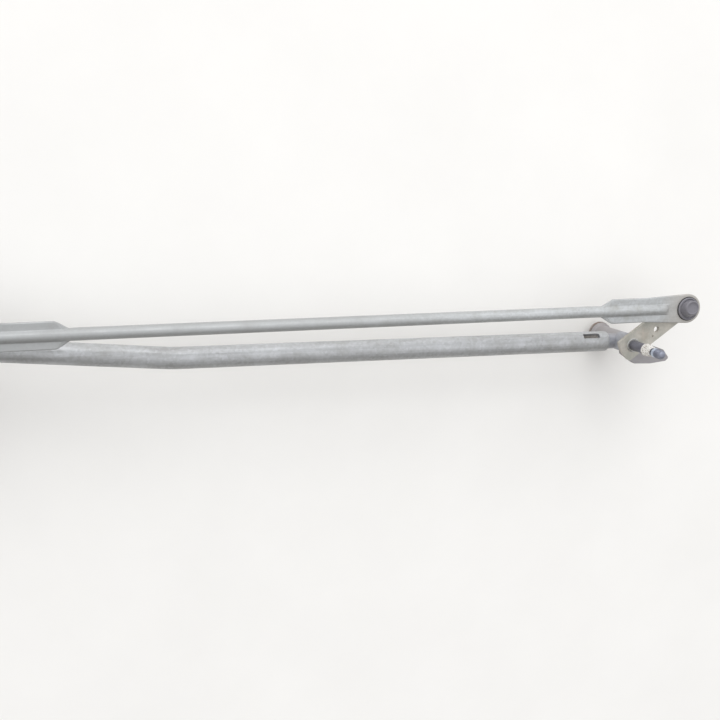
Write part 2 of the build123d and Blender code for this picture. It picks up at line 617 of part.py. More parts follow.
def link_half(length, wing, top):
    """Half of a pressed link, from its left ball: flat end with a bead, which turns into an open channel."""
    middle, plate_low = length / 2, top - LINK_PLATE_THICK
    bead_z = top - (LINK_BEAD_R - LINK_BEAD_RISE)
    outline = wing_outline(wing)
    flat = plate(outline, plate_low, top)
    flat = fillet(flat.edges().group_by(Axis.Z)[-1].sort_by(Axis.X)[:-1], LINK_EDGE_ROLL)
    across = Plane(origin=(BEAD_END - 1, 0, top), x_dir=(0, 1, 0), z_dir=(1, 0, 0))
    run = middle - BEAD_END + 1
    upper_half = Pos(0, LINK_BEAD_R) * Rectangle(4 * LINK_BEAD_R, 2 * LINK_BEAD_R)
    round_top = Pos(0, bead_z - top) * (Circle(LINK_BEAD_R) & upper_half)
    feet = extrude(across * bead_profile(), run) & plate(outline, plate_low, top + LINK_BEAD_R)
    bead = extrude(across * round_top, run) + feet - ramp(BEAD_END, top)
    start, low = wing + LINK_SHOULDER / 2, top - LINK_LEG_DEPTH
    side = Polygon((start, bead_z), (start + LINK_LEG_RUN, low), (middle, low), (middle, bead_z), align=None)
    legs = extrude(Plane.XZ * side, LINK_BEAD_R, both=True)
    inner_r = LINK_BEAD_R - LINK_WALL
    hollow = along_x(inner_r, BEAD_END, middle + 1, 0, bead_z)
    hollow += Pos(BEAD_END, 0, bead_z) * Box(middle + 1 - BEAD_END, 2 * inner_r, 3 * LINK_LEG_DEPTH,
                                             align=(Align.MIN, Align.CENTER, Align.MAX))
    hollow -= ramp(BEAD_END + LINK_WALL * BEAD_RAMP / LINK_BEAD_RISE, top)
    under = Pos(start, 0, plate_low) * Box(start + 30, 4 * LINK_BEAD_R, 1.0,
                                           align=(Align.MAX, Align.CENTER, Align.MAX))
    return flat + (bead - under) + legs - hollow - Cylinder(SOCKET_BODY_R + SEAT, 4 * DRIVE_TOP)


def link_body(length, wing, top):
    """Pressed link along +X from its left ball: hat section at the ends, channel between them."""
    half = link_half(length, wing, top)
    return half + mirror(half, Plane.YZ.offset(length / 2))


def socket(at, top, skirt, capped):
    """Moulded ball socket clipped in a link's head: ring, skirt, and a domed cap or an open throat."""
    ball_z = top - (LINK_TOP - BALL_Z)
    plate_low = top - LINK_PLATE_THICK
    ring_top = top + SOCKET_RING_THICK
    outer = [(0, plate_low - skirt), (SOCKET_BODY_R - 1, plate_low - skirt),
             (SOCKET_BODY_R, plate_low - skirt + 1),
             (SOCKET_BODY_R, top), (SOCKET_RING_R, top), (SOCKET_RING_R, ring_top - 0.6),
             (SOCKET_RING_R - 0.6, ring_top), (SOCKET_CAP_R + 0.8, ring_top)]
    if capped:
        cap = top + SOCKET_CAP_TOP
        outer += [(SOCKET_CAP_R, ring_top + 0.8), (SOCKET_CAP_R, cap - 1.2), (SOCKET_CAP_R - 1.2, cap),
                  (0, cap)]
    else:
        outer += [(SOCKET_CAP_R, ring_top), (0, ring_top)]
    body = turned(outer, at)
    if skirt > 0:
        body -= Pos(at.X, at.Y, ball_z) * Sphere(BALL_R + RUN)
        mouth = BALL_R - 1.3
        body -= disc(mouth, plate_low - skirt - 1, ball_z, at)
        if not capped:
            body -= disc(mouth, ball_z, ring_top + 1, at)
    return body


def place_link(body, left_ball, angle):
    """Lay a link that was drawn along +X between its two balls."""
    return Pos(left_ball.X, left_ball.Y, 0) * Rot(0, 0, angle) * body


def coupling_link_parts():
    """Long link between the two levers."""
    body = link_body(LINK_LENGTH, LINK_WING_LENGTH, LINK_TOP)
    return {
        "coupling_link": place_link(body, LEFT_BALL, LINK_TILT),
        "coupling_link_right_socket": socket(RIGHT_BALL, LINK_TOP, SOCKET_SKIRT - LINK_PLATE_THICK, True),
        "coupling_link_left_socket": socket(LEFT_BALL, LINK_TOP, SOCKET_SKIRT - LINK_PLATE_THICK, False),
    }


def drive_link_parts():
    """Short link from the crank to the left lever, above the coupling link."""
    body = link_body(DRIVE_LENGTH, DRIVE_WING_LENGTH, DRIVE_TOP)
    return {
        "drive_link": place_link(body, CRANK_PIN, DRIVE_ANGLE + 180),
        "drive_link_lever_socket": socket(LEFT_BALL, DRIVE_TOP, SOCKET_SKIRT - LINK_PLATE_THICK, True),
        "drive_link_crank_socket": socket(CRANK_PIN, DRIVE_TOP, 0, True),
    }


def crank_parts():
    """Output shaft with its worm wheel, and the crank that it turns."""
    m = MOTOR_AXIS
    top = CRANK_BOTTOM + CRANK_THICK
    arm = hull_of((m, CRANK_HUB_R), (CRANK_PIN, CRANK_END_R))
    crank = plate(arm, CRANK_BOTTOM, top) - disc(CRANK_SEAT_R + SEAT, 0, 2 * top, m)
    crank -= disc(NECK_R + SEAT, 0, 2 * top, CRANK_PIN)
    crank = chamfer(crank.edges().group_by(Axis.Z)[-1].filter_by(lambda e: e.length > 12), 0.6)
    boot_top = DRIVE_TOP - LINK_PLATE_THICK - FACE - 0.1
    ball_z = boot_top - 0.5 - BALL_R
    pin = disc(NECK_R, CRANK_BOTTOM, top, CRANK_PIN) + disc(NECK_R - 0.6, top, ball_z, CRANK_PIN)
    pin += disc(RIVET_R - 0.6, CRANK_BOTTOM - RIVET_HEIGHT, CRANK_BOTTOM, CRANK_PIN)
    pin += Pos(CRANK_PIN.X, CRANK_PIN.Y, ball_z) * Sphere(BALL_R)
    boot = turned([(NECK_R + 0.3, top + 0.05), (BOOT_R - 2, top + 0.05), (BOOT_R - 1, top + 2),
                   (BOOT_R - 2.2, top + 3.2),
                   (BOOT_R, top + 5.5), (BOOT_R, boot_top - 3), (BOOT_R - 1.2, boot_top - 1.5),
                   (BOOT_R - 0.6, boot_top),
                   (BALL_R - 1.0, boot_top), (BALL_R + 0.4, boot_top - 3.2), (BALL_R + 0.4, ball_z - 1.0),
                   (NECK_R + 0.3, ball_z - BALL_R + 0.2)], CRANK_PIN)
    boot -= Pos(CRANK_PIN.X, CRANK_PIN.Y, ball_z) * Sphere(BALL_R + RUN)
    seat_top = top + 1.5
    nut_top = seat_top + 6.0
    shaft = turned([(0, HOUSING_BOTTOM + 2), (SHAFT_R - 0.6, HOUSING_BOTTOM + 2),
                    (SHAFT_R, HOUSING_BOTTOM + 2.6),
                    (SHAFT_R, CRANK_BOTTOM), (CRANK_SEAT_R, CRANK_BOTTOM), (CRANK_SEAT_R, top - 0.2),
                    (THREAD_R, top), (THREAD_R, nut_top + 0.6), (THREAD_R - 0.9, nut_top + 1.5),
                    (0, nut_top + 1.5)], m)
    nut = hexagon(CRANK_NUT_FLATS, seat_top, nut_top, m) - disc(THREAD_R + SEAT, seat_top - 1, nut_top + 1, m)
    return {
        "output_shaft": shaft,
        "worm_wheel": worm_wheel(),
        "park_contact_disc": contact_disc(),
        "motor_crank": crank,
        "crank_washer": ring(8.0, THREAD_R + 0.7, top, seat_top, m),
        "crank_nut": nut,
        "crank_ball_stud": pin,
        "crank_ball_boot": boot,
    }


def worm_wheel():
    """Moulded worm wheel with a toothed rim, a thin web with holes, and a hub."""
    low, high = WORM_PLANE - GEAR_THICK / 2, WORM_PLANE + GEAR_THICK / 2
    tip, root = WORM_WHEEL_R + GEAR_MODULE, WORM_WHEEL_R - 1.25 * GEAR_MODULE
    blank = disc(tip, low, high)
    gap_root, gap_tip = 0.42 * GEAR_MODULE, 1.25 * GEAR_MODULE
    gap = Polygon((root, -gap_root), (tip + 0.5, -gap_tip), (tip + 0.5, gap_tip), (root, gap_root),
                  align=None)
    gaps = Sketch() + [Rot(0, 0, 360 / GEAR_TEETH * i) * gap for i in range(GEAR_TEETH)]
    wheel = blank - plate(gaps, low - 1, high + 1)
    wheel -= ring(root - 3, GEAR_HUB_R + 1, WORM_PLANE + 1.5, high + 1)
    for i in range(6):
        wheel -= disc(4.0, low - 1, high + 1, polar(19.0, 60 * i + 30))
    wheel += disc(GEAR_HUB_R, WORM_PLANE - GEAR_THICK / 2, WORM_PLANE + 9)
    wheel -= disc(SHAFT_R + SEAT, -100, 100)
    return Pos(MOTOR_AXIS.X, MOTOR_AXIS.Y, 0) * wheel


def contact_disc():
    """Thin metal disc under the worm wheel, with a notch where the motor parks."""
    top = WORM_PLANE - GEAR_THICK / 2
    track = ring(14.6, 8.0, top - 0.6, top)
    notch = Pos(14.0, 0, top) * Box(4.0, 6.0, 3.0)
    return Pos(MOTOR_AXIS.X, MOTOR_AXIS.Y, 0) * (track - notch)


def gear_housing():
    """Die-cast gear housing: wheel chamber, worm tunnel, shaft boss, lugs and motor flange."""
    m = MOTOR_AXIS
    roof = BRACKET_BOTTOM - HOUSING_ROOF
    body = (disc(HOUSING_R, HOUSING_BOTTOM, BRACKET_BOTTOM, m)
            + disc(SHAFT_BOSS_R, BRACKET_BOTTOM, SHAFT_BOSS_TOP, m))
    tunnel_start, flange = m.X - TUNNEL_BACK, m.X + CAN_START
    tail_start = tunnel_start + TUNNEL_END_WALL
    body += along_x(TUNNEL_R, tunnel_start, flange, WORM_AXIS_Y, WORM_PLANE)
    mouth = Plane(origin=(flange - 5, WORM_AXIS_Y, WORM_PLANE), x_dir=(0, 1, 0), z_dir=(1, 0, 0))
    body += extrude(mouth * (RectangleRounded(2 * CAN_R + 3, CAN_FLATS + 3, 14) & Circle(CAN_R + 2)), 5)
    body += extrude(mouth * flange_ears(8.0), 5)
    for angle in SCREW_ANGLES:
        body += plate(hull_of((m + polar(SCREW_CIRCLE_R, angle), 7.5),
                              (m + polar(HOUSING_R - 10, angle), 7.5)),
                      BRACKET_BOTTOM - SCREW_DEPTH - 2, BRACKET_BOTTOM)
    for angle in COVER_ANGLES:
        body += plate(hull_of((m + polar(COVER_SCREW_CIRCLE_R, angle), 5.0),
                              (m + polar(HOUSING_R - 8, angle), 5.0)),
                      HOUSING_BOTTOM, HOUSING_BOTTOM + COVER_SCREW_DEPTH + 2)
    for angle in (0.0, 45.0, 135.0, 180.0, 225.0, 270.0, 315.0):
        body += plate(hull_of((m + polar(SHAFT_BOSS_R - 2, angle), 1.2), (m + polar(17.5, angle), 1.2)),
                      BRACKET_BOTTOM, BRACKET_BOTTOM + 9)
    inner = HOUSING_R - HOUSING_WALL
    body -= disc(inner, HOUSING_BOTTOM - 1, roof, m)
    body -= along_x(TUNNEL_BORE_R, tunnel_start + 10, flange + 1, WORM_AXIS_Y, WORM_PLANE)
    body -= along_x(FRONT_BEARING_R + SEAT, flange - FRONT_BEARING_LENGTH, flange + 1, WORM_AXIS_Y,
                    WORM_PLANE)
    body -= along_x(TAIL_BUSH_R + SEAT, tail_start, flange, WORM_AXIS_Y, WORM_PLANE)
    body -= disc(SHAFT_R + RUN + BUSH_WALL + SEAT, HOUSING_BOTTOM, SHAFT_BOSS_TOP + 1, m)
    for angle in SCREW_ANGLES:
        body -= disc(SCREW_R + SEAT, BRACKET_BOTTOM - SCREW_DEPTH - 1, BRACKET_BOTTOM + 1,
                     m + polar(SCREW_CIRCLE_R, angle))
    for angle in COVER_ANGLES:
        body -= disc(COVER_SCREW_R + SEAT, HOUSING_BOTTOM - 1, HOUSING_BOTTOM + COVER_SCREW_DEPTH + 1,
                     m + polar(COVER_SCREW_CIRCLE_R, angle))
    for side in (-1, 1):
        y, z = flange_ear_at(side)
        body -= along_x(CAN_SCREW_R + SEAT, flange - 6, flange + 1, WORM_AXIS_Y + y, WORM_PLANE + z)
    return body


def flange_ear_at(side):
    """Place of a motor screw on the flange, from the motor axis, as (y, z)."""
    return side * 33.5, side * 13.0


def flange_ears(radius):
    """Two screw ears on the motor flange."""
    ears = Sketch()
    for side in (-1, 1):
        y, z = flange_ear_at(side)
        ears += Pos(y, z) * Circle(radius)
        ears += make_hull([(Pos(y, z) * Circle(radius)).edge(),
                           (Pos(y * 0.6, z * 0.6) * Circle(radius)).edge()])
    return ears


def gear_cover():
    """Moulded cover under the wheel chamber, with the shell of the electrical connector."""
    m = MOTOR_AXIS
    low, high = HOUSING_BOTTOM - COVER_THICK, HOUSING_BOTTOM
    front = PLUG_BACK - PLUG_LENGTH
    body = disc(HOUSING_R, low, high, m)
    for angle in COVER_ANGLES:
        body += plate(hull_of((m + polar(COVER_SCREW_CIRCLE_R, angle), 5.0),
                              (m + polar(HOUSING_R - 8, angle), 5.0)),
                      low, high)
    body += ring(HOUSING_R - HOUSING_WALL - 0.3, HOUSING_R - HOUSING_WALL - 2.3, high, high + 3, m)
    for angle in (0.0, 60.0, 120.0):
        rib = Pos(m.X, m.Y, low) * Rot(0, 0, angle) * Box(2 * HOUSING_R - 12, 1.8, 2.4,
                                                         align=(Align.CENTER, Align.CENTER, Align.CENTER))
        body += rib
    body += ring(13, 11, low - 1.2, low, m)
    shell = Box(PLUG_LENGTH, PLUG_WIDTH, PLUG_HEIGHT, align=(Align.MIN, Align.CENTER, Align.MIN))
    shell = fillet(shell.edges().filter_by(Axis.X), 3.0)
    body += Pos(front, m.Y, low) * shell
    body += Pos(PLUG_BACK - 1, m.Y, low) * Box(14, PLUG_WIDTH - 6, COVER_THICK,
                                               align=(Align.MIN, Align.CENTER, Align.MIN))
    hollow = Box(PLUG_LENGTH - 4, PLUG_WIDTH - 2 * PLUG_WALL, PLUG_HEIGHT - 2 * PLUG_WALL,
                 align=(Align.MIN, Align.CENTER, Align.MIN))
    hollow = fillet(hollow.edges().filter_by(Axis.X), 1.5)
    body -= Pos(front - 0.001, m.Y, low + PLUG_WALL) * hollow
    body += Pos(front + 4, m.Y, low + PLUG_HEIGHT) * Box(10, 8, 1.6,
                                                         align=(Align.MIN, Align.CENTER, Align.CENTER))
    for y, z in plug_pin_places():
        body -= Pos(PLUG_BACK - 5, y, z) * Box(10, 1.3, 1.3)
    for angle in COVER_ANGLES:
        body -= disc(COVER_SCREW_R + 0.35, low - 1, high + 1, m + polar(COVER_SCREW_CIRCLE_R, angle))
    return body


def plug_pin_places():
    """Height and Y of each terminal in the connector."""
    z = HOUSING_BOTTOM - COVER_THICK + PLUG_WALL + 2.5
    return [(MOTOR_AXIS.Y + (i - (PLUG_PINS - 1) / 2) * PLUG_PITCH, z) for i in range(PLUG_PINS)]


def motor_sleeve(outer, inner, start, finish):
    """Sleeve round the motor shaft, between two distances from the output shaft."""
    x = MOTOR_AXIS.X
    return (along_x(outer, x + start, x + finish, WORM_AXIS_Y, WORM_PLANE)
            - along_x(inner, x + start - 1, x + finish + 1, WORM_AXIS_Y, WORM_PLANE))


def gearbox_parts():
    """Gear housing with its cover, bushes, seal, contacts and screws."""
    m = MOTOR_AXIS
    inner, outer = SHAFT_R + RUN, SHAFT_R + RUN + BUSH_WALL
    roof = BRACKET_BOTTOM - HOUSING_ROOF
    tail = TUNNEL_END_WALL - TUNNEL_BACK
    pin = Box(PLUG_LENGTH - 9, 1.2, 1.2, align=(Align.MIN, Align.CENTER, Align.CENTER))
    pins = [Pos(PLUG_BACK - PLUG_LENGTH + 7, y, z) * pin for y, z in plug_pin_places()]
    screws = []
    for angle in COVER_ANGLES:
        at = m + polar(COVER_SCREW_CIRCLE_R, angle)
        low = HOUSING_BOTTOM - COVER_THICK
        screws.append(disc(3.6, low - 2.2, low, at)
                      + disc(COVER_SCREW_R, low, HOUSING_BOTTOM + COVER_SCREW_DEPTH, at))
    fingers = []
    for i, radius in enumerate((9.5, 12.0, 14.0)):
        at = m + polar(radius, 200 + 35 * i)
        low = HOUSING_BOTTOM
        fingers.append(disc(0.8, low, WORM_PLANE - GEAR_THICK / 2 - 0.6 - FACE, at)
                       + disc(1.4, low, low + 3, at))
    return {
        "gear_housing": gear_housing(),
        "gear_cover": gear_cover(),
        "output_shaft_bushes": Compound([ring(outer, inner, roof, roof + 9, m),
                                         ring(outer, inner, SHAFT_BOSS_TOP - 10, SHAFT_BOSS_TOP, m)]),
        "shaft_seal_cap": ring(SHAFT_BOSS_R - 1, SHAFT_R + RUN, SHAFT_BOSS_TOP, SHAFT_BOSS_TOP + 2.5, m),
        "cover_screws": Compound(screws),
        "plug_terminals": Compound(pins),
        "park_contacts": Compound(fingers),
        "worm_tail_bush": motor_sleeve(TAIL_BUSH_R, TAIL_R + RUN, tail, tail + TAIL_BUSH_LENGTH),
        "front_bearing": motor_sleeve(FRONT_BEARING_R, MOTOR_SHAFT_R + RUN, CAN_START - FRONT_BEARING_LENGTH,
                                      CAN_START),
    }


def motor_plane(x):
    """Plane across the motor at a distance from the output shaft, x to +Y and y to +Z."""
    return Plane(origin=(MOTOR_AXIS.X + x, WORM_AXIS_Y, WORM_PLANE), x_dir=(0, 1, 0), z_dir=(1, 0, 0))


def can_section(inset):
    """Round outline with two flats, set in by a wall."""
    return Circle(CAN_R - inset) & Rectangle(3 * CAN_R, CAN_FLATS - 2 * inset)


def motor_can():
    """Deep-drawn can: two flats, a screw flange at the mouth, and a bearing cup at the far end."""
    mouth, end = motor_plane(CAN_START), motor_plane(CAN_START + CAN_LENGTH)
    body = extrude(mouth * can_section(0), CAN_LENGTH)
    body = fillet(body.faces().sort_by(Axis.X)[-1].edges(), 5.0)
    body += extrude(mouth * (flange_ears(7.5) + can_section(-1.5)), 2.5)
    body += extrude(end * Circle(BEARING_CUP_R), BEARING_CUP_LENGTH, taper=4)
    body -= extrude(motor_plane(CAN_START - 1) * can_section(CAN_WALL), CAN_LENGTH + 1 - CAN_WALL)
    body -= extrude(end.offset(-5) * Circle(BEARING_CUP_R - CAN_WALL), BEARING_CUP_LENGTH + 5 - CAN_WALL)
    for side in (-1, 1):
        y, z = flange_ear_at(side)
        body -= extrude(motor_plane(CAN_START - 1) * (Pos(y, z) * Circle(CAN_SCREW_R + 0.3)), 6)
    return body


def motor_parts():
    """Permanent-magnet motor: can, magnets, brushes, and the armature with its worm."""
    core_start = CAN_START + ARMATURE_FROM_MOUTH
    core_end = core_start + ARMATURE_LENGTH
    x0 = MOTOR_AXIS.X
    outer_r = CAN_R - CAN_WALL - SEAT
    arc = Circle(outer_r) - Circle(ARMATURE_R + MAGNET_GAP)
    arc &= Rectangle(4 * CAN_R, 1.1 * ARMATURE_R * 2)
    arc -= Rectangle(20, 4 * CAN_R)
    magnets = [extrude(motor_plane(core_start - 3) * half, ARMATURE_LENGTH + 6) for half in arc.faces()]
    slots = Sketch()
    for i in range(ARMATURE_SLOTS):
        slots += Rot(0, 0, 360 / ARMATURE_SLOTS * i) * (Pos(ARMATURE_R - 1, 0) * Rectangle(6, 2.0))
        slots += Rot(0, 0, 360 / ARMATURE_SLOTS * i) * (Pos(ARMATURE_R - 5, 0) * Circle(3.0))
    lamination = Circle(ARMATURE_R) - Circle(MOTOR_SHAFT_R + SEAT) - slots
    core = extrude(motor_plane(core_start) * lamination, ARMATURE_LENGTH)
    copper = Sketch()
    for i in range(ARMATURE_SLOTS):
        copper += Rot(0, 0, 360 / ARMATURE_SLOTS * i) * (Pos(ARMATURE_R - 5, 0) * Circle(3.0 - 0.1))
    winding = extrude(motor_plane(core_start - 1) * copper, ARMATURE_LENGTH + 2)
    for start in (core_start - 7, core_end):
        overhang = extrude(motor_plane(start) * (Circle(ARMATURE_R - 2.5) - Circle(MOTOR_SHAFT_R + 2)), 7)
        winding += fillet(overhang.edges().filter_by(GeomType.CIRCLE).filter_by(
            lambda e: e.radius > ARMATURE_R - 4), 2.5)
    commutator_start = CAN_START + 1.5
    bars = Circle(COMMUTATOR_R) - Circle(MOTOR_SHAFT_R + SEAT)
    for i in range(ARMATURE_SLOTS):
        bars -= Rot(0, 0, 360 / ARMATURE_SLOTS * (i + 0.5)) * (Pos(COMMUTATOR_R, 0) * Rectangle(3.0, 0.6))
    commutator = extrude(motor_plane(commutator_start) * bars, COMMUTATOR_LENGTH)
    shaft_end = CAN_START + CAN_LENGTH + BEARING_CUP_LENGTH - CAN_WALL - 1
    shaft = along_x(MOTOR_SHAFT_R, x0 + WORM_LENGTH / 2 + 4, x0 + shaft_end, WORM_AXIS_Y, WORM_PLANE)
    shaft += along_x(TAIL_R, x0 + TUNNEL_END_WALL - TUNNEL_BACK, x0 + WORM_LENGTH / 2 + 4, WORM_AXIS_Y,
                     WORM_PLANE)
    worm = motor_sleeve(WORM_ROOT_R, TAIL_R + SEAT, -WORM_LENGTH / 2, WORM_LENGTH / 2)
    holder = extrude(motor_plane(CAN_START + 1) * (can_section(CAN_WALL + 0.3) - Circle(COMMUTATOR_R + 2)), 2)
    brushes, boxes = [], []
    for side in (-1, 1):
        brush = Pos(0, side * (COMMUTATOR_R + FACE + 5.5)) * Rectangle(5, 11)
        brushes.append(extrude(motor_plane(CAN_START + 5) * brush, 6))
        box = Pos(0, side * (COMMUTATOR_R + 8)) * Rectangle(7.4, 10)
        slot = Pos(0, side * (COMMUTATOR_R + 8)) * Rectangle(5.1, 12)
        boxes.append(extrude(motor_plane(CAN_START + 3) * box, 10)
                     - extrude(motor_plane(CAN_START + 4.9) * slot, 6.2))
    for box in boxes:
        holder += box
    screws = []
    for side in (-1, 1):
        y, z = flange_ear_at(side)
        head = Pos(y, z) * RegularPolygon(4, 6, major_radius=False)
        screws.append(extrude(motor_plane(CAN_START + 2.5) * head, 3.5)
                      + extrude(motor_plane(CAN_START - 5) * (Pos(y, z) * Circle(CAN_SCREW_R)), 8))
    rear_start = CAN_START + CAN_LENGTH - 3
    rear_ring = Circle(BEARING_CUP_R - CAN_WALL - SEAT) - Circle(MOTOR_SHAFT_R + RUN)
    rear = extrude(motor_plane(rear_start) * rear_ring, 8)
    return {
        "motor_can": motor_can(),
        "field_magnets": Compound(magnets),
        "brush_holder": holder,
        "carbon_brushes": Compound(brushes),
        "can_screws": Compound(screws),
        "rear_bearing": rear,
        "armature_shaft": shaft,
        "worm": worm,
        "armature_core": core,
        "armature_windings": winding,
        "commutator": commutator,
    }


if __name__ == "__main__":
    os.makedirs("parts", exist_ok=True)
    for name, part in name_parts().items():
        export_step(part, f"parts/{name}.step")
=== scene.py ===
"""Looks for a windshield wiper motor and its linkage frame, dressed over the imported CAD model."""

import logging
import math
from collections.abc import Callable, Sequence
from dataclasses import dataclass, field, replace
from enum import Enum

import bmesh
import bpy
from mathutils import Matrix, Vector


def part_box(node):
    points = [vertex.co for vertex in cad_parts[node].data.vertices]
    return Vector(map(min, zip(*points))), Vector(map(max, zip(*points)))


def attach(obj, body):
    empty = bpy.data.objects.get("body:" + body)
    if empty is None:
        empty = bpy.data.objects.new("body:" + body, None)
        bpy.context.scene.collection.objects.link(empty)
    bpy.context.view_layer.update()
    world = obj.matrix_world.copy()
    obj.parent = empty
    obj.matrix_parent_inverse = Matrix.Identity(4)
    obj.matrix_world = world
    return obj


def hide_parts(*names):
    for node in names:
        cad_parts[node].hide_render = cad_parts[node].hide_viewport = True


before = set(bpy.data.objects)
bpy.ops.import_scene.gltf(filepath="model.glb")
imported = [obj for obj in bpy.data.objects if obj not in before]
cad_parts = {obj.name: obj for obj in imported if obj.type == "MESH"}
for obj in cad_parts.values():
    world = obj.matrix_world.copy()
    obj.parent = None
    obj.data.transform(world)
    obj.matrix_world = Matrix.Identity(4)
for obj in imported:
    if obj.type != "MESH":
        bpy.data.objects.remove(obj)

Piece = bpy.types.Object
Socket = bpy.types.NodeSocket
Triple = tuple[float, float, float]
Pair = tuple[float, float]
# Each a step inwards and one up or down, in millimetres.
Steps = tuple[Pair, ...]

LOG = logging.getLogger("wiper_motor")
MM = 0.001
# Places this near to each other, in millimetres, count as one.
NEAR = 0.01
# The clouds that carry stains and gloss, and the ranges in which both set in.
CLOUD_SCALE = 38.0
STAIN_EDGE = (0.54, 0.74)
GLOSS_EDGE = (0.3, 0.7)
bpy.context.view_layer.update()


class Grain(Enum):
    """How a surface was made, which decides the pattern of its relief and stains."""

    ROLLED = "rolled"
    CAST = "cast"
    TURNED = "turned"
    PLATED = "plated"
    MOULDED = "moulded"
    WOUND = "wound"
    STACKED = "stacked"
    SPECKLED = "speckled"


class Slot(Enum):
    """Material slots of the record."""

    GALVANISED = "galvanised_steel"
    ZINC = "zinc_plated_steel"
    CAST = "cast_aluminium"
    DARK_STEEL = "dark_steel"
    BRIGHT_STEEL = "bright_steel"
    GREY_PLASTIC = "grey_plastic"
    RUBBER = "black_rubber"
    BLACK_PLASTIC = "black_plastic"
    NATURAL_PLASTIC = "natural_plastic"
    BRONZE = "bronze"
    COPPER = "copper"
    LAMINATIONS = "lamination_steel"
    CAN = "painted_can"
    FERRITE = "ferrite"


class Painter:
    """Lays and joins the shader nodes of a material or of the world."""

    def __init__(self, target: bpy.types.Material | bpy.types.World) -> None:
        """Start with nothing but the coordinates.

        Args:
            target: The new material or world.
        """
        target.use_nodes = True
        self.target = target
        self.tree = target.node_tree
        self.tree.nodes.clear()
        self.coordinates = self.add("ShaderNodeTexCoord").outputs
        self.place = self.coordinates["Object"]

    def add(self, kind: str, inputs: dict | None = None, **settings: object) -> bpy.types.Node:
        """Add one node.

        Args:
            kind: Type name of the node.
            inputs: Constants or outputs for its inputs, by name or number. A colour has three values.
            **settings: Properties of the node itself.

        Returns:
            The new node.
        """
        node = self.tree.nodes.new(kind)
        for key, value in settings.items():
            setattr(node, key, value)
        for key, value in (inputs or {}).items():
            socket = node.inputs[key]
            if isinstance(value, Socket):
                self.tree.links.new(value, socket)
            elif socket.type == "RGBA":
                socket.default_value = (*value, 1.0)
            else:
                socket.default_value = value
        return node

    def along(self, axis: str) -> Socket:
        """Object coordinate along X, Y or Z."""
        return self.add("ShaderNodeSeparateXYZ", {"Vector": self.place}).outputs[axis]

    def stretched(self, scale: Triple, turn: float = 0.0) -> Socket:
        """Object coordinates turned about Z, then scaled by axis.

        Args:
            scale: Factor for each axis.
            turn: Angle in degrees.

        Returns:
            The changed coordinates.
        """
        turned = self.add("ShaderNodeMapping", {"Vector": self.place,
                                                "Rotation": (0.0, 0.0, math.radians(turn))},
                          vector_type="TEXTURE").outputs[0]
        return self.add("ShaderNodeVectorMath", {0: turned, 1: scale}, operation="MULTIPLY").outputs[0]

    def noise(self, vector: Socket, scale: float, detail: float, rough: float) -> Socket:
        """Cloudy noise with so many octaves, the finer ones weighing as much as rough says."""
        settings = {"Vector": vector, "Scale": scale, "Detail": detail, "Roughness": rough}
        return self.add("ShaderNodeTexNoise", settings).outputs["Fac"]

    def cells(self, scale: float) -> Socket:
        """Random colour of each crystal-like cell, with so many cells in a metre."""
        settings = {"Vector": self.place, "Scale": scale, "Randomness": 1.0}
        return self.add("ShaderNodeTexVoronoi", settings).outputs["Color"]

    def bands(self, vector: Socket, scale: float, axis: str, warp: float) -> Socket:
        """Fine parallel ridges across an axis, wavering as much as warp says."""
        settings = {"Vector": vector, "Scale": scale, "Distortion": warp, "Detail": 1.0}
        return self.add("ShaderNodeTexWave", settings, wave_type="BANDS", bands_direction=axis).outputs["Fac"]

    def ramp(self, factor: Socket, low: float, high: float, to_low: float = 0.0,
             to_high: float = 1.0) -> Socket:
        """Stretch the range from low to high so that it runs from to_low to to_high, and clamp it."""
        ends = {"Value": factor, "From Min": low, "From Max": high, "To Min": to_low, "To Max": to_high}
        return self.add("ShaderNodeMapRange", ends, clamp=True).outputs[0]

    def blend(self, factor: Socket, first: Socket | Triple, second: Socket | Triple) -> Socket:
        """Mix two colours, where the factor is the share of the second."""
        return self.add("ShaderNodeMix", {0: factor, 6: first, 7: second}, data_type="RGBA").outputs[2]

    def sum(self, *terms: tuple[Socket, float]) -> Socket:
        """Weighted sum of several heights.

        Args:
            *terms: Each an output and its weight.

        Returns:
            The sum.
        """
        total: Socket | float = 0.0
        for socket, weight in terms:
            node = self.add("ShaderNodeMath", {0: socket, 1: weight, 2: total}, operation="MULTIPLY_ADD")
            total = node.outputs[0]
        return total

    def layers(self, fine: Socket, coarse: Socket, tone: Pair, relief: Pair,
               reach: Pair) -> tuple[Socket, Socket]:
        """Relief and tone of two layers by their weights in each, the tone stretched from its reach."""
        blended = self.sum((fine, tone[0]), (coarse, tone[1]))
        return self.sum((fine, relief[0]), (coarse, relief[1])), self.ramp(blended, *reach)

    def close(self, color: Socket, rough: Socket, height: Socket, depth: float, metallic: float,
              constants: dict[str, float] | None = None) -> bpy.types.Material:
        """Join everything to a surface shader.

        Args:
            color: Base colour.
            rough: Roughness.
            height: Relief, from 0 to 1.
            depth: Height of that relief in metres.
            metallic: Metallic value.
            constants: Other constant sockets of the shader.

        Returns:
            The finished material.
        """
        bump = self.add("ShaderNodeBump", {"Height": height, "Distance": depth, "Strength": 1.0})
        shader = self.add("ShaderNodeBsdfPrincipled", {
            "Base Color": color, "Roughness": rough, "Metallic": metallic, "Normal": bump.outputs[0],
            **(constants or {})})
        self.add("ShaderNodeOutputMaterial", {"Surface": shader.outputs[0]})
        return self.target


@dataclass(frozen=True)
class Fade:
    """A tint that comes in along one axis, from nothing at start to its full share at end, in metres."""

    axis: str
    start: float
    end: float
    color: Triple
    share: float


